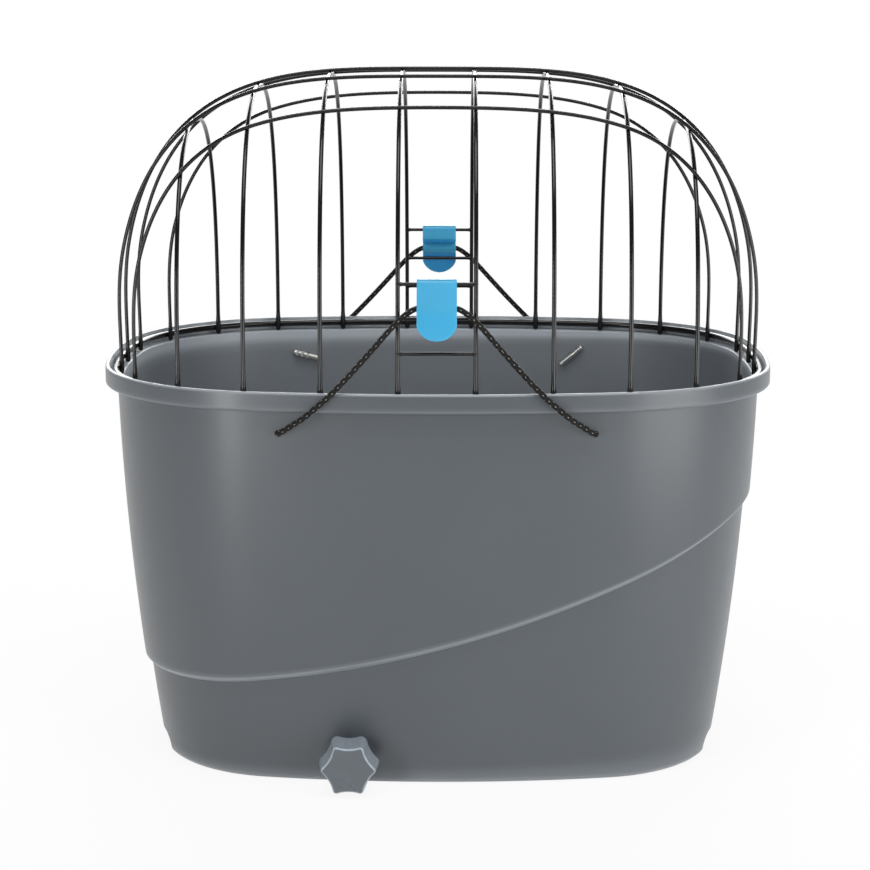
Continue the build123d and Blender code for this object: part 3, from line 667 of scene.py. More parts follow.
def braid(name, base, fleck, threads, pitch, rows, spacing):
    """Braided cover on the cord's own map: two crossing sets of threads, with pale flecks.

    Around is u and along is v in metres. A thread's ridge is the sine of threads times u plus or
    minus v over the pitch, and the higher of the two ridges shows. The flecks stand in rows along
    the cord, a spacing apart, and every other row is shifted by half a spacing. Each is an
    ellipse: the squares of the distances from its middle add up to less than 1.
    """
    material, tree, shader, add = new_material(name)
    place = add("ShaderNodeUVMap")
    split = add("ShaderNodeSeparateXYZ")
    tree.links.new(place.outputs["UV"], split.inputs["Vector"])
    calc = math_adder(tree)
    u, v = split.outputs["X"], split.outputs["Y"]
    along = calc("MULTIPLY", v, 2.0 * math.pi / pitch)
    around = calc("MULTIPLY", u, 2.0 * math.pi * threads)
    leftward, rightward = (calc("SINE", calc(way, around, along)) for way in ("ADD", "SUBTRACT"))
    lift = calc("MULTIPLY_ADD", calc("MAXIMUM", leftward, rightward), 0.5, 0.5)
    # Darker in the grooves and lighter on the threads' ridges: painted shade and painted light over the
    # braid
    tint = ramp(tree, add, lift, (0.2, scaled(base, 0.3)), (0.95, scaled(base, 1.6)))
    row = calc("MULTIPLY", u, float(rows))
    shift = calc("MULTIPLY", calc("MODULO", calc("FLOOR", row), 2.0), 0.5)
    step = calc("FRACT", calc("ADD", calc("DIVIDE", v, spacing), shift))
    half_width, half_length = 0.14, 0.10
    beside = calc("DIVIDE", calc("SUBTRACT", calc("FRACT", row), 0.5), half_width)
    ahead = calc("DIVIDE", calc("SUBTRACT", step, 0.5), half_length)
    reach = calc("ADD", calc("MULTIPLY", beside, beside), calc("MULTIPLY", ahead, ahead))
    mix_in(tree, add, shader.inputs["Base Color"], calc("LESS_THAN", reach, 1.0), tint, fleck)
    shader.inputs["Roughness"].default_value = 0.6
    shader.inputs["Specular IOR Level"].default_value = 0.3
    bump(tree, add, shader, lift, 0.0004)
    return material


def finish_piece(piece, material):
    """Gives a piece its one material."""
    piece.data.materials.clear()
    piece.data.materials.append(material)
    return piece


# Tub


def swoosh_height(x):
    """Height of the swooping edge at a place along the basket: a circular arc seen from the side."""
    tub = setting("tub")
    half = tub.half_length - tub.overhang
    rise = tub.swoosh_right - tub.swoosh_left
    chord = math.hypot(half, rise / 2.0)
    lean = math.atan2(rise, 2.0 * half)
    middle = (tub.swoosh_left + tub.swoosh_right) / 2.0
    reach = math.sqrt(tub.swoosh_radius ** 2 - chord ** 2)
    centre_x = -reach * math.sin(lean)
    centre_z = middle + reach * math.cos(lean)
    return centre_z - np.sqrt(tub.swoosh_radius ** 2 - (x - centre_x) ** 2)


def tub_rows():
    """Two stretches of the tub's profile as rows of (inset, height), and marks in the second.

    The first runs from the floor's underside to the outside of the foot, and the second from
    under the band over the rim, the lip and the ledge to the inside. The marks are the rows where
    the band's lower edge and the crest start, where the lip starts and ends, and the ledge starts.
    """
    tub = setting("tub")
    band_bottom, ledge = tub.height - tub.band, tub.height - tub.ledge_drop
    fillet, edge, rim, hollow, flat = 0.005, 0.0007, 0.0018, 0.001, 0.003
    lower = tub.overhang + tub.step
    inner_wall, inner_foot = lower + tub.wall, lower + tub.foot_width
    foot_parts = (
        np.linspace((inner_wall, tub.floor_bottom), (inner_wall, tub.foot_height), 5),
        np.linspace((inner_foot, tub.foot_height), (inner_foot, edge), 2),
        corner_round((inner_foot - edge, edge), edge, 0.0, -90.0, 3),
        corner_round((lower + fillet, fillet), fillet, -90.0, -180.0, FOOT_ROWS),
    )
    rim_parts = (
        corner_round((tub.overhang - hollow, band_bottom - hollow), hollow, 0.0, 90.0, 5),
        corner_round((rim, band_bottom + rim), rim, -90.0, -180.0, 6),
        np.linspace((0.0, band_bottom + flat), (0.0, tub.height - flat), 4),
        corner_round((rim, tub.height - rim), rim, 180.0, 90.0, 6),
        corner_round((tub.lip_top - edge, tub.height - edge), edge, 90.0, 16.0, 4),
        np.linspace((tub.lip_top, tub.height - edge), (tub.lip_foot, ledge + edge), 4),
        corner_round((tub.lip_foot + edge, ledge + edge), edge, 196.0, 270.0, 4),
        corner_round((tub.overhang + tub.wall - edge, ledge - edge), edge, 90.0, 0.0, 5),
    )
    ends = np.cumsum([len(part) for part in rim_parts])
    marks = np.array([ends[0], ends[2], ends[4] - 1, ends[5] - 1, ends[6] - 1])
    return np.concatenate(foot_parts), np.concatenate(rim_parts), marks


def rows_between(low, high, count):
    """Rows of heights from one to another by equal steps, without the first."""
    return low + (high - low) * np.linspace(0.0, 1.0, count)[1:, None]


def tub_surface():
    """The tub as one closed surface over (place in the profile, place round the plan).

    It runs from the middle of the underside over the foot, up the outside with its step, over the
    rim and the ledge, down the inside, and over the floor to its middle. Inside, the step is a
    smooth ramp. With the mesh come the places of the foot, the step and the rim in its map.
    """
    tub = setting("tub")
    bottom, rim, marks = tub_rows()
    lower = tub.overhang + tub.step
    inner_upper, inner_lower = tub.overhang + tub.wall, lower + tub.wall
    band_bottom = tub.height - tub.band
    plan_x, _ = oval_points(lower, taper(0.5 * band_bottom))
    edge_height = swoosh_height(plan_x)[None]
    step_height = edge_height + tub.step * STEP_OUTLINE[:, 1:]
    under_band = 0.0012
    inner_step, ramp_above, ramp_below = edge_height + tub.wall, 0.002, 0.004
    turn = np.linspace(0.0, 1.0, 7)[1:, None]
    fillet = 0.006
    floor_start = tub.floor_top + fillet
    rounding = corner_round((inner_lower + fillet, floor_start), fillet, 180.0, 270.0, 7)[1:]
    parts = (
        (bottom[:, :1], bottom[:, 1:]),
        (lower, rows_between(bottom[-1, 1], edge_height, 26)),
        (lower - tub.step * STEP_OUTLINE[:, :1], step_height),
        (tub.overhang, rows_between(step_height[-1:], band_bottom - under_band, 26)),
        (rim[:, :1], rim[:, 1:]),
        (inner_upper, rows_between(rim[-1, 1], inner_step + ramp_above, 30)),
        (inner_upper + tub.step * smooth(turn), inner_step + ramp_above - (ramp_above + ramp_below) * turn),
        (inner_lower, rows_between(inner_step - ramp_below, floor_start, 18)),
        (rounding[:, :1], rounding[:, 1:]),
    )
    spread = [np.broadcast_arrays(inset, height, edge_height)[:2] for inset, height in parts]
    inset, height = (np.concatenate(group) for group in zip(*spread))
    x, y = oval_points(inset, taper(height))
    shrink = np.linspace(1.0, 0.0, 22)[1:, None]
    flat = np.zeros_like(shrink * x[:1])
    points = np.stack([
        np.concatenate([x[:1] * shrink[::-1], x, x[-1:] * shrink]),
        np.concatenate([y[:1] * shrink[::-1], y, y[-1:] * shrink]),
        np.concatenate([flat + tub.floor_bottom, height, flat + tub.floor_top]),
    ], axis=-1)
    ends = len(shrink) + np.cumsum([len(rows) for rows, _ in spread])
    bands = {
        "foot": (ends[0] - FOOT_ROWS, ends[0] + 1), "step": (ends[1], ends[2] - 1), "rim": ends[3] + marks
    }
    bands = {name: np.array(rows) / len(points) for name, rows in bands.items()}
    return grid_mesh("tub_shell", points, poles=True), bands


def cut_out(piece, cutters):
    """Cuts closed meshes out of a piece, keeps its shading smooth, and removes them."""
    for number, mesh in enumerate(cutters):
        cutter = bpy.data.objects.new(f"cutter_{number}", mesh)
        bpy.context.scene.collection.objects.link(cutter)
        step = piece.modifiers.new("cut", "BOOLEAN")
        step.operation = "DIFFERENCE"
        step.solver = "MANIFOLD"
        step.object = cutter
        bpy.context.view_layer.update()
        made = bpy.data.meshes.new_from_object(
            piece.evaluated_get(bpy.context.evaluated_depsgraph_get())
        )
        piece.modifiers.clear()
        old = piece.data
        made.name = old.name
        piece.data = made
        bpy.data.meshes.remove(old)
        bpy.data.objects.remove(cutter)
        bpy.data.meshes.remove(mesh)
    piece.data.shade_smooth()
    piece.data.set_sharp_from_angle(angle=math.radians(38.0))


def prism(name, outline, start, end):
    """A closed prism over an outline in Y and Z, from one X to another."""
    middle = outline.mean(axis=0)
    rings = [
        np.column_stack([np.full(len(outline), x), middle + (outline - middle) * size])
        for x, size in ((start, 0.0), (start, 1.0), (end, 1.0), (end, 0.0))
    ]
    return grid_mesh(name, np.array(rings), poles=True)


def rod(name, radius, reach, start):
    """A straight rod with flat ends, from a place along Y."""
    profile = [(0.0, 0.0), (0.0, radius), (reach, radius), (reach, 0.0)]
    return turned(name, profile, start, (0, 1, 0), 24)


class BASKET_OT_tub(bpy.types.Operator):
    """Makes the tub, with its swooping step, rim, ledge, cord holes and slots"""

    bl_idname = "basket.tub"
    bl_label = "Tub"

    def execute(self, context):
        tub = setting("tub")
        mesh, bands = tub_surface()
        piece = add_object("tub_shell", mesh, None, "tub_plastic", "tub")
        cutters = [rod("hole", HOLE_RADIUS, 0.4, (x, -0.2, HOLE_Z)) for x in (-HOLE_X, HOLE_X)]
        for x, y in ((-CLAMP_X, -0.16), (CLAMP_X, 0.13)):
            cutters.append(rod("shaft_hole", SHAFT_HOLE, 0.03, (x, y, CLAMP_Z)))
        half, top, bend, below, past = SLOT_HALF, SLOT_TOP, SLOT_CORNER, -0.01, 0.26
        arch = np.concatenate([
            [(half, below)],
            corner_round((half - bend, top - bend), bend, 0.0, 90.0, 7),
            corner_round((bend - half, top - bend), bend, 90.0, 180.0, 7),
            [(-half, below)],
        ])
        cutters.append(prism("slot", arch, -past, past))
        cut_out(piece, cutters)
        plastic = moulded_plastic("basket_plastic", tuple(tub.colour), 0.34, 0.00004, specular=0.62)
        # The tub's paler bands are painted light: highlights, bounce light and a paler inside
        finish_piece(piece, painted_light_bands("painted_light_plastic", plastic, tuple(tub.lip_colour), bands, 0.33))
        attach(piece, "tub")
        reach, edge = BOSS_FACE - BOSS_FOOT, 0.0008
        profile = [
            (0.0, SHAFT_HOLE), (0.0, BOSS_RADIUS - edge), (edge, BOSS_RADIUS), (reach, BOSS_RADIUS),
            (reach, SHAFT_HOLE),
        ]
        for name, side in ENDS:
            place = (side * CLAMP_X, side * BOSS_FACE, CLAMP_Z)
            boss = turned(f"{name}_boss", profile, place, (0, -side, 0), 48)
            finish_piece(add_object(f"{name}_boss", boss, "tub", "tub_plastic"), plastic)
        return {"FINISHED"}


# Wire cage


def dome(x, y):
    """Height of the cross arches above the rim: height times (1 - |x/a|^p) times (1 - |y/b|^q), to 1/r."""
    cage = setting("cage")
    half = setting("tub").half_length - cage.leg_inset
    lengthwise = np.maximum(1.0 - np.abs(x / half) ** cage.length_power, 0.0)
    reach = np.maximum(half_depth_at(x, cage.leg_inset), 1e-6)
    across = np.maximum(1.0 - np.abs(y / reach) ** cage.depth_power, 0.0)
    return cage.height * (lengthwise * across) ** (1.0 / cage.height_power)


def cross_places():
    """Where the cross arches stand along the cage, from left to right."""
    cage = setting("cage")
    inner = (np.arange(6) - 2.5) * cage.spacing
    outer = 2.5 * cage.spacing + cage.outer_spacing
    return np.concatenate([[-outer], inner, [outer]])


def cross_depth(x, height):
    """How far out from the middle a cross arch is at a height above the rim."""
    cage = setting("cage")
    crown = dome(x, 0.0)
    fraction = (1.0 - (height / crown) ** cage.height_power) ** (1.0 / cage.depth_power)
    return half_depth_at(x, cage.leg_inset) * fraction


def with_legs(path):
    """The path with straight legs down from its ends, whose round ends rest on the ledge."""
    play, end_radius = 0.0001, 0.00205
    foot = setting("tub").height - setting("tub").ledge_drop + play + end_radius
    drops = np.linspace(foot, path[0, 2], LEG_ROWS + 1)[:-1]
    left, right = (np.column_stack([np.tile(end[:2], (LEG_ROWS, 1)), drops]) for end in (path[0], path[-1]))
    return np.concatenate([left, path, right[::-1]])


def foot_swell(path, radius):
    """Radius along a leg: the coating gathers towards the foot, as a smooth step about the rim."""
    above, reach, gain = 0.007, 0.009, 0.36
    t = np.clip((setting("tub").height + above - path[:, 2]) / reach, 0.0, 1.0)
    return radius * (1.0 + gain * smooth(t))


def cross_path(place):
    """Middle line of a cross arch, where |y/b| to the power q plus (z/c) to the power r is 1.

    At an angle a, y is b times |cos a| to the power 2/q, and z is c times (sin a) to 2/r.
    """
    cage = setting("cage")
    turn = np.linspace(0.0, np.pi, 1200)
    half = float(half_depth_at(place, cage.leg_inset))
    depth = -half * np.sign(np.cos(turn)) * np.abs(np.cos(turn)) ** (2.0 / cage.depth_power)
    lift = float(dome(place, 0.0)) * np.abs(np.sin(turn)) ** (2.0 / cage.height_power)
    return np.column_stack([np.full(len(turn), place), depth, setting("tub").height + lift])


def long_path(depth):
    """Middle line of a long arch, laid on the cross arches at a depth.

    It is moved off the dome by both wires' radii less the weld, up and out square to its own
    slope, and further where the dome leans sideways. The move starts smoothly above the rim.
    """
    cage = setting("cage")
    half = half_length_at(depth, cage.leg_inset)
    t = np.linspace(-1.0, 1.0, 3001)
    along = half * np.sign(t) * (1.0 - (1.0 - np.abs(t)) ** 4)
    height = dome(along, depth)
    small, full_height = 1e-5, 0.08
    slope_x = (dome(along + small, depth) - dome(along - small, depth)) / (2.0 * small)
    slope_y = (dome(along, depth + small) - dome(along, depth - small)) / (2.0 * small)
    lean = 1.0 - slope_y ** 2 / ((1.0 + slope_x ** 2) * (1.0 + slope_y ** 2))
    off = cage.cross_wire / 2.0 + cage.long_wire / 2.0 - WELD
    away = off * smooth(np.clip(height / full_height, 0.0, 1.0)) / np.sqrt(lean)
    steep = np.hypot(slope_x, 1.0)
    lift = setting("tub").height + height + away / steep
    return np.column_stack([along - away * slope_x / steep, np.full(len(t), depth), lift])


class BASKET_OT_cage(bpy.types.Operator):
    """Makes the wire cage: base ring, cross arches, long arches and rungs"""

    bl_idname = "basket.cage"
    bl_label = "Wire cage"

    def execute(self, context):
        cage, rim = setting("cage"), setting("tub").height
        coat = coated_wire("wire_coating", tuple(cage.colour))
        ring_radius, cross_radius, long_radius = (
            wire / 2.0 for wire in (cage.ring_wire, cage.cross_wire, cage.long_wire)
        )

        def add_wire(name, mesh, node):
            """Adds a coated wire that stands for a node."""
            finish_piece(add_object(name, mesh, "cage", "coated_wire", node), coat)

        x, y = oval_points(cage.leg_inset - (ring_radius + cross_radius - WELD), 0.0, RING_STEPS)
        path = np.column_stack([x, y, np.full(len(x), rim - RING_DROP)])
        mesh = tube("ring", path, ring_radius, 18, (0.0, 0.0, 1.0), closed=True)
        add_wire("base_ring", mesh, "cage_base_ring")
        for number, place in enumerate(cross_places(), 1):
            path = even(with_legs(cross_path(place)), WIRE_STEP)
            mesh = tube("arch", path, foot_swell(path, cross_radius), WIRE_SIDES, (1.0, 0.0, 0.0))
            add_wire(f"cross_wire_{number}", mesh, f"cross_arch_{number}")
        for number in range(5):
            path = even(with_legs(long_path((number - 2) * cage.rail_spacing)), WIRE_STEP)
            mesh = tube("arch", path, foot_swell(path, long_radius), WIRE_SIDES, (0.0, 1.0, 0.0))
            add_wire(f"long_wire_{number + 1}", mesh, f"long_arch_{number + 1}")
        half = cage.spacing / 2.0
        x = np.linspace(-half, half, 30)
        gain, start, reach = 0.35, 0.004, 0.003
        gather = 1.0 + gain * np.clip((np.abs(x) - half + start) / reach, 0.0, 1.0) ** 2
        for name, side in ENDS:
            for number, height in enumerate(RUNG_HEIGHTS, 1):
                depth = side * float(cross_depth(half, height))
                path = np.column_stack([x, np.full(len(x), depth), np.full(len(x), rim + height)])
                mesh = tube("rung", path, cage.rung_wire / 2.0 * gather, WIRE_SIDES, (0.0, 0.0, 1.0))
                add_wire(f"{name}_rung_{number}", mesh, f"{name}_rungs")
        return {"FINISHED"}


# Clips


def top_rung():
    """How far out from the middle the top rung lies, and its height."""
    depth = float(cross_depth(setting("cage").spacing / 2.0, RUNG_HEIGHTS[-1]))
    return depth, setting("tub").height + RUNG_HEIGHTS[-1]


def clip_path():
    """The clip's middle line in (outward, up) from the rung: leg, hook, strap and tab.

    With it come the hook's radius and the strap's lean.
    """
    clip = setting("clip")
    play, leg_drop, bend_drop, tip_drop, soften = 0.0001, 0.008, 0.0175, 0.0353, 0.0014
    hook = setting("cage").rung_wire / 2.0 + play + clip.thickness / 2.0
    lean, tab_lean = math.radians(STRAP_LEAN), math.radians(13.0)
    leg = np.linspace((-hook, -leg_drop), (-hook, -0.0004), 8)
    over = corner_round((0.0, 0.0), hook, 180.0, STRAP_LEAN, 16)
    end = over[-1]
    bend_at = np.array([end[0] + (end[1] + bend_drop) * math.tan(lean), -bend_drop])
    tab_drop = tip_drop - bend_drop
    tip = bend_at + np.array([tab_drop * math.tan(tab_lean), -tab_drop])
    first, last = (
        bend_at + (place - bend_at) / np.linalg.norm(place - bend_at) * soften for place in (end, tip)
    )
    t = np.linspace(0.0, 1.0, 7)[:, None]
    bend = (1 - t) ** 2 * first + 2 * t * (1 - t) * bend_at + t ** 2 * last
    strap = np.linspace(end, first, 14)[1:-1]
    tab = np.linspace(last, tip, 24)[1:]
    return np.concatenate([leg, over, strap, bend, tab]), hook, lean


def clip_mesh(depth, height, side):
    """A clip: a rounded bar section carried along its middle line, as wide as its outline allows.

    The half width follows an arc over the last stretch, so that the tab ends round.
    """
    clip = setting("clip")
    line, _, _ = clip_path()
    half, thick = clip.width / 2.0, clip.thickness / 2.0
    rounding, end_rise, cap_drop, thinned = 0.0007, 0.009, 0.0001, [0.55, 0.85]
    arc = (half ** 2 + end_rise ** 2) / (2.0 * end_rise)
    above = np.clip(line[:, 1] - line[-1, 1], 0.0, None)
    width = np.where(above < end_rise, np.sqrt(np.clip(arc ** 2 - (arc - above) ** 2, 0.0, None)), half)
    keep = np.concatenate([thinned, np.ones(len(line) - len(thinned))])
    tangent = np.gradient(line, axis=0)
    tangent /= np.linalg.norm(tangent, axis=1)[:, None]
    normal = np.column_stack([-tangent[:, 1], tangent[:, 0]])
    angle = np.radians(np.concatenate([np.linspace(a, a + 90.0, 5) for a in (0.0, 90.0, 180.0, 270.0)]))
    centre_x = np.repeat([1.0, -1.0, -1.0, 1.0], 5)
    centre_n = np.repeat([1.0, 1.0, -1.0, -1.0], 5)
    inner = np.maximum(width - rounding, 0.0)[:, None]
    x = centre_x * inner + rounding * np.cos(angle) * (width > 0)[:, None]
    n = (centre_n * (thick - rounding) + rounding * np.sin(angle)) * keep[:, None]
    body = np.stack([x, line[:, :1] + normal[:, :1] * n, line[:, 1:] + normal[:, 1:] * n], axis=-1)
    first, last = (
        np.broadcast_to([0.0, out, up - cap_drop], body[:1].shape) for out, up in (line[0], line[-1])
    )
    points = np.concatenate([first, body, last])
    points = np.stack([points[..., 0], side * (depth + points[..., 1]), height + points[..., 2]], axis=-1)
    return grid_mesh("clip", points if side < 0 else points[:, ::-1], poles=True)


def tunnel_place():
    """Middle of the cord's tunnel in (outward, up) from the rung, inside the strap, and its bore."""
    clip = setting("clip")
    _, hook, lean = clip_path()
    bore, drop = setting("cord").diameter / 2.0 + 0.00035, 0.0147
    strap = hook * math.cos(lean) + (hook * math.sin(lean) + drop) * math.tan(lean)
    return np.array([strap - (clip.thickness / 2.0 + bore) / math.cos(lean), -drop]), bore


class BASKET_OT_clips(bpy.types.Operator):
    """Makes the two clips with their hooks and cord tunnels"""

    bl_idname = "basket.clips"
    bl_label = "Clips"

    def execute(self, context):
        clip = setting("clip")
        plastic = moulded_plastic("clip_plastic", tuple(clip.colour), 0.30, 0.00002, mottle=0.03)
        shader = plastic.node_tree.nodes["Principled BSDF"]
        shader.inputs["Subsurface Weight"].default_value = 0.4
        shader.inputs["Subsurface Radius"].default_value = (0.3, 0.8, 1.0)
        shader.inputs["Subsurface Scale"].default_value = 0.004
        depth, height = top_rung()
        tunnel, bore = tunnel_place()
        half, outer, edge = clip.width / 2.0, bore + 0.0015, 0.0005
        corners = (
            (edge - half, outer - edge, 180.0), (half - edge, outer - edge, 90.0),
            (half - edge, bore + edge, 0.0), (edge - half, bore + edge, -90.0),
        )
        wall = np.concatenate([corner_round((x, radius), edge, a, a - 90.0, 4) for x, radius, a in corners])
        angle = np.linspace(0.0, 2.0 * np.pi, 36, endpoint=False)
        for name, side in ENDS:
            mesh = clip_mesh(depth, height, side)
            piece = add_object(f"{name}_clip_strap", mesh, f"{name}_clip", "clip_blue", f"{name}_clip")
            finish_piece(piece, plastic)
            points = np.stack([
                np.broadcast_to(wall[:, :1], (len(wall), len(angle))),
                side * depth + side * tunnel[0] + wall[:, 1:] * np.cos(angle),
                height + tunnel[1] + wall[:, 1:] * np.sin(angle),
            ], axis=-1)
            mesh = grid_mesh("tunnel", points, close_rows=True)
            finish_piece(add_object(f"{name}_clip_tunnel", mesh, f"{name}_clip", "clip_blue"), plastic)
        return {"FINISHED"}


# Elastic cords


def route_points(side):
    """The cord's route from its left bar over the rim to the clip, and down to the right bar."""
    depth, height = top_rung()
    tunnel, _ = tunnel_place()
    mouth_y, mouth_z = depth + tunnel[0], height + tunnel[1]
    half = [
        (-HOLE_X, 0.1570, HOLE_Z),
        (-HOLE_X, 0.1635, HOLE_Z),
        (-0.1037, 0.1686, 0.2477),
        (-0.0940, 0.1738, 0.2546),
        (-0.0862, 0.1783, 0.2602),
        (-0.0800, 0.1794, 0.2657),
        (-0.0730, 0.1797, 0.2716),
        (-0.0672, 0.1794, 0.2772),
        (-0.0560, 0.1775, 0.2888),
        (-0.0420, 0.1750, 0.3042),
        (-0.0290, 0.1724, 0.3190),
        (-0.0210, mouth_y + 0.0005, mouth_z - 0.0048),
        (-0.0150, mouth_y, mouth_z - 0.0008),
        (-0.0110, mouth_y, mouth_z),
    ]
    return [(x, side * y, z) for x, y, z in half] + [(-x, side * y, z) for x, y, z in reversed(half)]


def smooth_route(points):
    """Points read from the route's smooth spline, evenly spaced."""
    curve = bpy.data.curves.new("route", "CURVE")
    curve.dimensions = "3D"
    spline = curve.splines.new("NURBS")
    spline.points.add(len(points) - 1)
    weighted = np.column_stack([points, np.ones(len(points))])
    spline.points.foreach_set("co", weighted.astype(np.float32).ravel())
    spline.order_u = 3
    spline.use_endpoint_u = True
    spline.resolution_u = 24
    holder = bpy.data.objects.new("route", curve)
    bpy.context.scene.collection.objects.link(holder)
    bpy.context.view_layer.update()
    read = bpy.data.meshes.new_from_object(holder.evaluated_get(bpy.context.evaluated_depsgraph_get()))
    places = np.empty(len(read.vertices) * 3, np.float32)
    read.vertices.foreach_get("co", places)
    bpy.data.objects.remove(holder)
    bpy.data.curves.remove(curve)
    bpy.data.meshes.remove(read)
    return even(places.reshape(-1, 3).astype(float), CORD_STEP)


def crimped(half, end, side):
    """The ripple of a bar's crimp teeth: bumps along its outer half, in two rows off the wall."""

    pitch, height, steep, first, last = 0.0042, 0.42, 8.0, -0.1, 0.9

    def ripple(along, angle):
        place = along / half * end
        rows = np.clip(np.cos(2.0 * np.pi * along / pitch), 0.0, 1.0)
        within = np.clip((place - first) * steep, 0.0, 1.0) * np.clip((last - place) * steep, 0.0, 1.0)
        off_wall = np.clip(2.0 * side * np.cos(angle), 0.0, 1.0)
        return 1.0 + height * rows * within * off_wall * np.clip(-np.cos(4.0 * angle), 0.0, 1.0)

    return ripple


def bar_profile(half, radius):
    """A bar's profile: straight, with a quarter of an ellipse at each end."""
    t = np.linspace(-1.0, 1.0, 121)
    rounded = 0.12
    fall = np.clip((np.abs(t) - (1.0 - rounded)) / rounded, 0.0, 1.0)
    return np.column_stack([t * half, radius * np.sqrt(np.clip(1.0 - fall ** 2, 0.0, 1.0))])


class BASKET_OT_cords(bpy.types.Operator):
    """Makes the braided elastic cords and the metal bars on their ends"""

    bl_idname = "basket.cords"
    bl_label = "Cords"

    def execute(self, context):
        cord = setting("cord")
        colours = tuple(cord.colour), tuple(cord.fleck)
        cover = braid("cord_braid", *colours, threads=8, pitch=0.0026, rows=6, spacing=0.0054)
        steel = plated_steel("bar_steel", (0.90, 0.88, 0.84), 0.36)
        low_end, split, high_end = 0.277, 0.303, 0.326
        half, radius, plan = 0.0115, 0.0021, math.radians(8.2)
        for name, side in ENDS:
            path = smooth_route(np.array(route_points(side)))
            high = np.flatnonzero(path[:, 2] > split)
            stretches = (
                (f"{name}_cord_left", path[: high[0] + 1], "tub", "cage", (low_end, split)),
                (f"{name}_cord_right", path[high[-1]:], "tub", "cage", (low_end, split)),
                (f"{name}_cord_top", path[high[0]: high[-1] + 1], "cage", f"{name}_clip", (split, high_end)),
            )
            for label, part, low_body, high_body, span in stretches:
                mesh = tube("cord", part, cord.diameter / 2.0, 16, (0.12, side, 0.05))
                piece = add_object(label, mesh, None, "cord_cover", f"{name}_cord")
                finish_piece(piece, cover)
                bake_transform(piece)
            low, high = (np.array(corner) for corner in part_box(f"{name}_cord_barbs"))
            for end, tilt in zip((-1.0, 1.0), (14.0, -22.0) if side < 0 else (-15.0, 40.0)):
                lean = math.radians(tilt)
                level = math.cos(lean)
                lie = (level * math.cos(plan), -side * end * level * math.sin(plan), math.sin(lean))
                centre = np.array([end * HOLE_X, (low[1] + high[1]) / 2.0, HOLE_Z])
                mesh = turned("bar", bar_profile(half, radius), centre, lie, 48, crimped(half, end, side))
                label = f"{name}_bar_{'left' if end < 0 else 'right'}"
                finish_piece(add_object(label, mesh, "tub", "zinc_steel", f"{name}_cord_barbs"), steel)
        return {"FINISHED"}


# Clamps


def star_radius(angle, waist, scallop, lobe):
    """Distance of a six-lobed outline from its middle, at angles from a lobe.

    Between lobes it follows a hollow circle, and near a lobe's tip a small round one that
    touches both hollows.
    """
    sixth = np.pi / 3.0
    fold = np.abs((angle + sixth / 2.0) % sixth - sixth / 2.0)
    out = waist + scallop
    beside = sixth / 2.0
    reach = out * np.cos(beside) - np.sqrt((scallop + lobe) ** 2 - (out * np.sin(beside)) ** 2)
    touch_x = reach + (out * np.cos(beside) - reach) * lobe / (scallop + lobe)
    touch_y = out * np.sin(beside) * lobe / (scallop + lobe)
    touch = np.arctan2(touch_y, touch_x)
    on_lobe = reach * np.cos(fold) + np.sqrt(np.maximum(lobe ** 2 - (reach * np.sin(fold)) ** 2, 0.0))
    away = beside - fold
    on_scallop = out * np.cos(away) - np.sqrt(np.maximum(scallop ** 2 - (out * np.sin(away)) ** 2, 0.0))
    return np.where(fold < touch, on_lobe, on_scallop)


def knob_rows():
    """A knob's surface from the middle of its face to the end of its hub: depths, radii, angles.

    Each row is the star outline set back from the widest one, by the draft and by the rounding
    of the face's and the back's edge. The rows inside the two edges are smaller copies.
    """
    clamp = setting("clamp")
    star, hub_length, hub, hub_edge, least_lobe = 0.020, 0.007, 0.010, 0.0006, 0.0004
    edge = clamp.edge
    turn = np.linspace(0.0, np.pi / 2.0, 7)
    flank = np.linspace(edge, star - edge, 12)[1:]
    back = turn[1:]
    front_shares, back_shares = np.linspace(0.0, 0.96, 5), np.array([0.9, 0.75, 0.62, 0.0])
    depth = np.concatenate([
        np.zeros(5), edge * (1.0 - np.cos(turn)), flank, star - edge + edge * np.sin(back), np.full(4, star)
    ])
    shrink = np.concatenate([
        np.full(5, edge), edge * (1.0 - np.sin(turn)), np.zeros(len(flank)), edge * (1.0 - np.cos(back)),
        np.full(4, edge),
    ])
    keep = np.concatenate([front_shares, np.ones(len(turn) + len(flank) + len(back)), back_shares])
    angle = np.linspace(0.0, 2.0 * np.pi, KNOB_SIDES, endpoint=False)
    radius = np.stack([
        star_radius(angle, clamp.waist - off, clamp.scallop + off, max(clamp.lobe - off, least_lobe))
        for off in (star - depth) * clamp.draft + shrink
    ]) * keep[:, None]
    radius[-1] = hub
    tail = np.array([[hub_length - hub_edge, hub], [hub_length, hub - hub_edge], [hub_length, 0.0]])
    depth = np.concatenate([depth, star + tail[:, 0]])
    return depth, np.concatenate([radius, np.repeat(tail[:, 1:], KNOB_SIDES, axis=1)]), angle


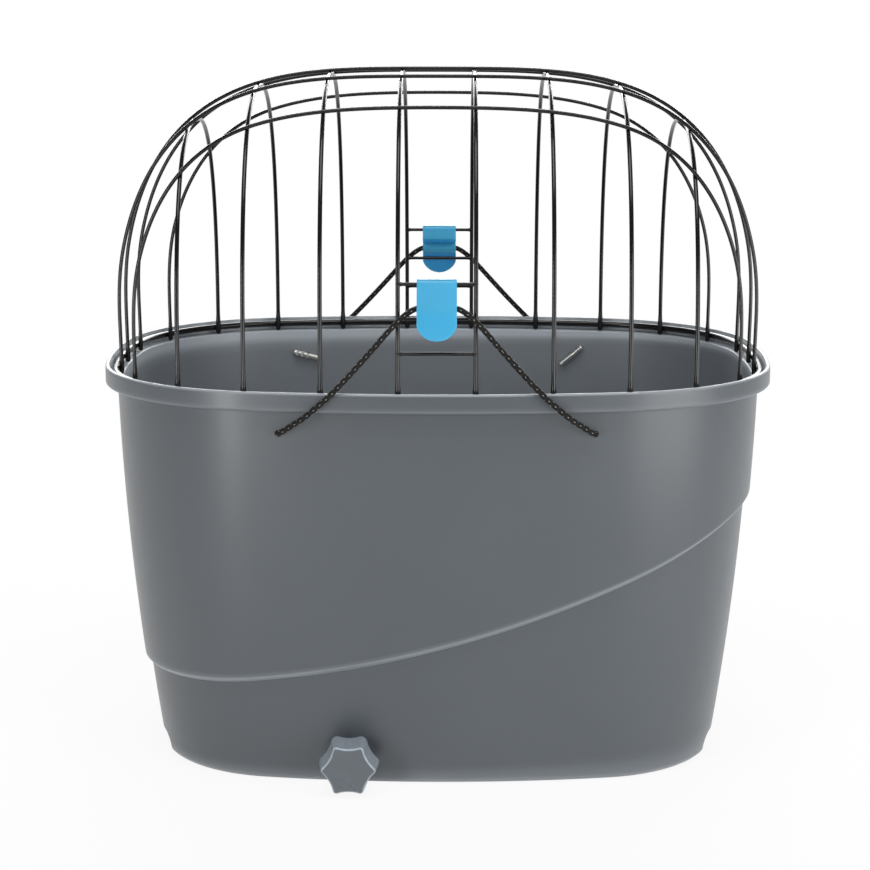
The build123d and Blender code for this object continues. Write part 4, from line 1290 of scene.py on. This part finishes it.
class BASKET_OT_knobs(bpy.types.Operator):
    """Makes the star knobs of the clamps"""

    bl_idname = "basket.knobs"
    bl_label = "Knobs"

    def execute(self, context):
        clamp = setting("clamp")
        colour_value = tuple(clamp.colour)
        plastic = moulded_plastic("knob_plastic", colour_value, 0.28, 0.00004, specular=0.62)
        # Paler flank and edge: painted light and a painted highlight on the knobs
        painted_light_flank(plastic, scaled(colour_value, 3.4), abs(float(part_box("front_knob")[0][1])), 0.0015)
        depth, radius, angle = knob_rows()
        for name, side in ENDS:
            low, high = (np.array(corner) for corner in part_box(f"{name}_knob"))
            centre, face = (low + high) / 2.0, low[1] if side < 0 else high[1]
            points = np.stack([
                centre[0] + radius * np.cos(angle),
                np.broadcast_to(face - side * depth[:, None], radius.shape),
                centre[2] + radius * np.sin(angle),
            ], axis=-1)
            mesh = grid_mesh("knob", points if side < 0 else points[:, ::-1], poles=True)
            mesh.set_sharp_from_angle(angle=math.radians(50.0))
            piece = add_object(f"{name}_star_knob", mesh, f"{name}_knob", "knob_plastic", f"{name}_knob")
            finish_piece(piece, plastic)
        return {"FINISHED"}


class BASKET_OT_hardware(bpy.types.Operator):
    """Gives the clamps' hidden parts their finish"""

    bl_idname = "basket.hardware"
    bl_label = "Clamp hardware"

    def execute(self, context):
        clamp = setting("clamp")
        steel = plated_steel("clamp_steel", tuple(clamp.steel))
        black = moulded_plastic("jaw_plastic", (0.018, 0.018, 0.019), 0.5, 0.00008, mottle=0.1)
        for name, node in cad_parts.items():
            if name.endswith("_jaw"):
                finish_piece(node, black)
            elif name == "floor_rivets" or name.endswith(("_screw", "_washer", "_ring", "_nut", "_rail")):
                finish_piece(node, steel)
        return {"FINISHED"}


# Stage


def area_light(name, place, target, size, power):
    """A soft box that points at a place."""
    lamp = bpy.data.lights.new(name, "AREA")
    lamp.shape = "RECTANGLE"
    lamp.size, lamp.size_y = size
    lamp.energy = power
    holder = bpy.data.objects.new(name, lamp)
    holder.location = place
    direction = Vector(target) - Vector(place)
    holder.rotation_euler = direction.to_track_quat("-Z", "Y").to_euler()
    bpy.context.scene.collection.objects.link(holder)


def floor_paper():
    """Matt white paper that glows for the camera, fully further out, and for reflections."""
    paper, tree, shader, add = new_material("floor_paper")
    calc = math_adder(tree)
    shader.inputs["Base Color"].default_value = (0.86, 0.86, 0.86, 1.0)
    shader.inputs["Roughness"].default_value = 0.9
    rays, place = add("ShaderNodeLightPath"), add("ShaderNodeTexCoord")
    away = add("ShaderNodeVectorMath", operation="LENGTH")
    tree.links.new(place.outputs["Object"], away.inputs[0])
    fade = map_range(tree, add, away.outputs["Value"], 0.35, 0.9, 0.9, 1.0)
    seen = calc("MULTIPLY", rays.outputs["Is Camera Ray"], fade)
    mirrored = calc("MULTIPLY", rays.outputs["Is Glossy Ray"], 0.95)
    mix, glow = add("ShaderNodeMixShader"), add("ShaderNodeEmission")
    for number, source in enumerate((calc("MAXIMUM", seen, mirrored), shader.outputs[0], glow.outputs[0])):
        tree.links.new(source, mix.inputs[number])
    tree.links.new(mix.outputs[0], tree.nodes["Material Output"].inputs["Surface"])
    return paper


class BASKET_OT_stage(bpy.types.Operator):
    """Makes the camera, the pale floor, the sky and the soft boxes"""

    bl_idname = "basket.stage"
    bl_label = "Stage"

    def execute(self, context):
        stage = setting("stage")
        camera = bpy.data.cameras.new("camera")
        camera.sensor_width = 36.0
        camera.sensor_fit = "HORIZONTAL"
        camera.lens = stage.focal_pixels / PHOTO_SIDE * camera.sensor_width
        camera.shift_x = (PHOTO_SIDE / 2.0 - stage.centre_x) / PHOTO_SIDE
        camera.shift_y = (stage.centre_y - PHOTO_SIDE / 2.0) / PHOTO_SIDE
        camera.clip_start = 0.05
        holder = bpy.data.objects.new("camera", camera)
        turn = Matrix.Rotation(stage.yaw, 4, "Z") @ Matrix.Rotation(math.pi / 2.0 - stage.pitch, 4, "X")
        turn = turn @ Matrix.Rotation(stage.roll, 4, "Z")
        place = Matrix.Translation((stage.camera_side, -stage.distance, stage.camera_height))
        holder.matrix_world = place @ turn
        context.scene.collection.objects.link(holder)
        context.scene.camera = holder

        half = 6.0
        corners = np.array([[[x, y, 0.0] for x in (-half, half)] for y in (-half, half)])
        floor = bpy.data.objects.new("floor", grid_mesh("floor", corners, close_columns=False))
        context.scene.collection.objects.link(floor)
        floor.data.materials.append(floor_paper())

        world = bpy.data.worlds.new("studio")
        context.scene.world = world
        world.use_nodes = True
        tree, white = world.node_tree, (1.0, 1.0, 1.0)
        add = node_adder(tree)
        direction, split = add("ShaderNodeTexCoord"), add("ShaderNodeSeparateXYZ")
        tree.links.new(direction.outputs["Generated"], split.inputs["Vector"])
        backward = map_range(tree, add, split.outputs["Y"], -1.0, 1.0)
        shade = ramp(tree, add, backward, (0.78, (0.086, 0.088, 0.09)), (0.95, white))
        seen = add("ShaderNodeLightPath").outputs["Is Camera Ray"]
        mix_in(tree, add, tree.nodes["Background"].inputs["Color"], seen, shade, white)

        aim = (0.0, 0.0, 0.25)
        area_light("top_box", (0.0, -0.7, 1.9), aim, (1.6, 1.0), 18.0)
        area_light("back_box", (0.0, 1.7, 1.0), aim, (2.4, 0.7), 36.0)
        area_light("left_box", (-0.62, -0.83, 0.31), (-0.1, 0.0, 0.25), (0.16, 0.58), 3.2)
        area_light("right_box", (0.78, -0.62, 0.31), (0.1, 0.0, 0.25), (0.75, 0.58), 5.0)

        context.scene.view_settings.view_transform = "Standard"
        return {"FINISHED"}


class BASKET_PT_panel(bpy.types.Panel):
    """Lists the basket's pieces"""

    bl_idname = "BASKET_PT_panel"
    bl_label = "Pet basket"
    bl_space_type = "VIEW_3D"
    bl_region_type = "UI"
    bl_category = "Basket"

    def draw(self, context):
        for operator in OPERATORS:
            self.layout.operator(operator.bl_idname)
        for group, kind in SETTINGS.items():
            box = self.layout.box()
            box.label(text=group.capitalize())
            for name in kind.__annotations__:
                box.prop(setting(group), name)


OPERATORS = (
    BASKET_OT_stage,
    BASKET_OT_tub,
    BASKET_OT_cage,
    BASKET_OT_clips,
    BASKET_OT_cords,
    BASKET_OT_knobs,
    BASKET_OT_hardware,
)


def register():
    """Registers the settings, the operators and the panel."""
    for kind in (*SETTINGS.values(), *OPERATORS, BASKET_PT_panel):
        bpy.utils.register_class(kind)
    for group, kind in SETTINGS.items():
        setattr(bpy.types.Scene, "basket_" + group, bpy.props.PointerProperty(type=kind))


def unregister():
    """Takes them away again."""
    for group in SETTINGS:
        delattr(bpy.types.Scene, "basket_" + group)
    for kind in (BASKET_PT_panel, *reversed(OPERATORS), *reversed(list(SETTINGS.values()))):
        bpy.utils.unregister_class(kind)


def main():
    """Makes the whole basket and its stage."""
    register()
    for operator in OPERATORS:
        group, name = operator.bl_idname.split(".")
        getattr(getattr(bpy.ops, group), name)()


if __name__ == "__main__":
    main()
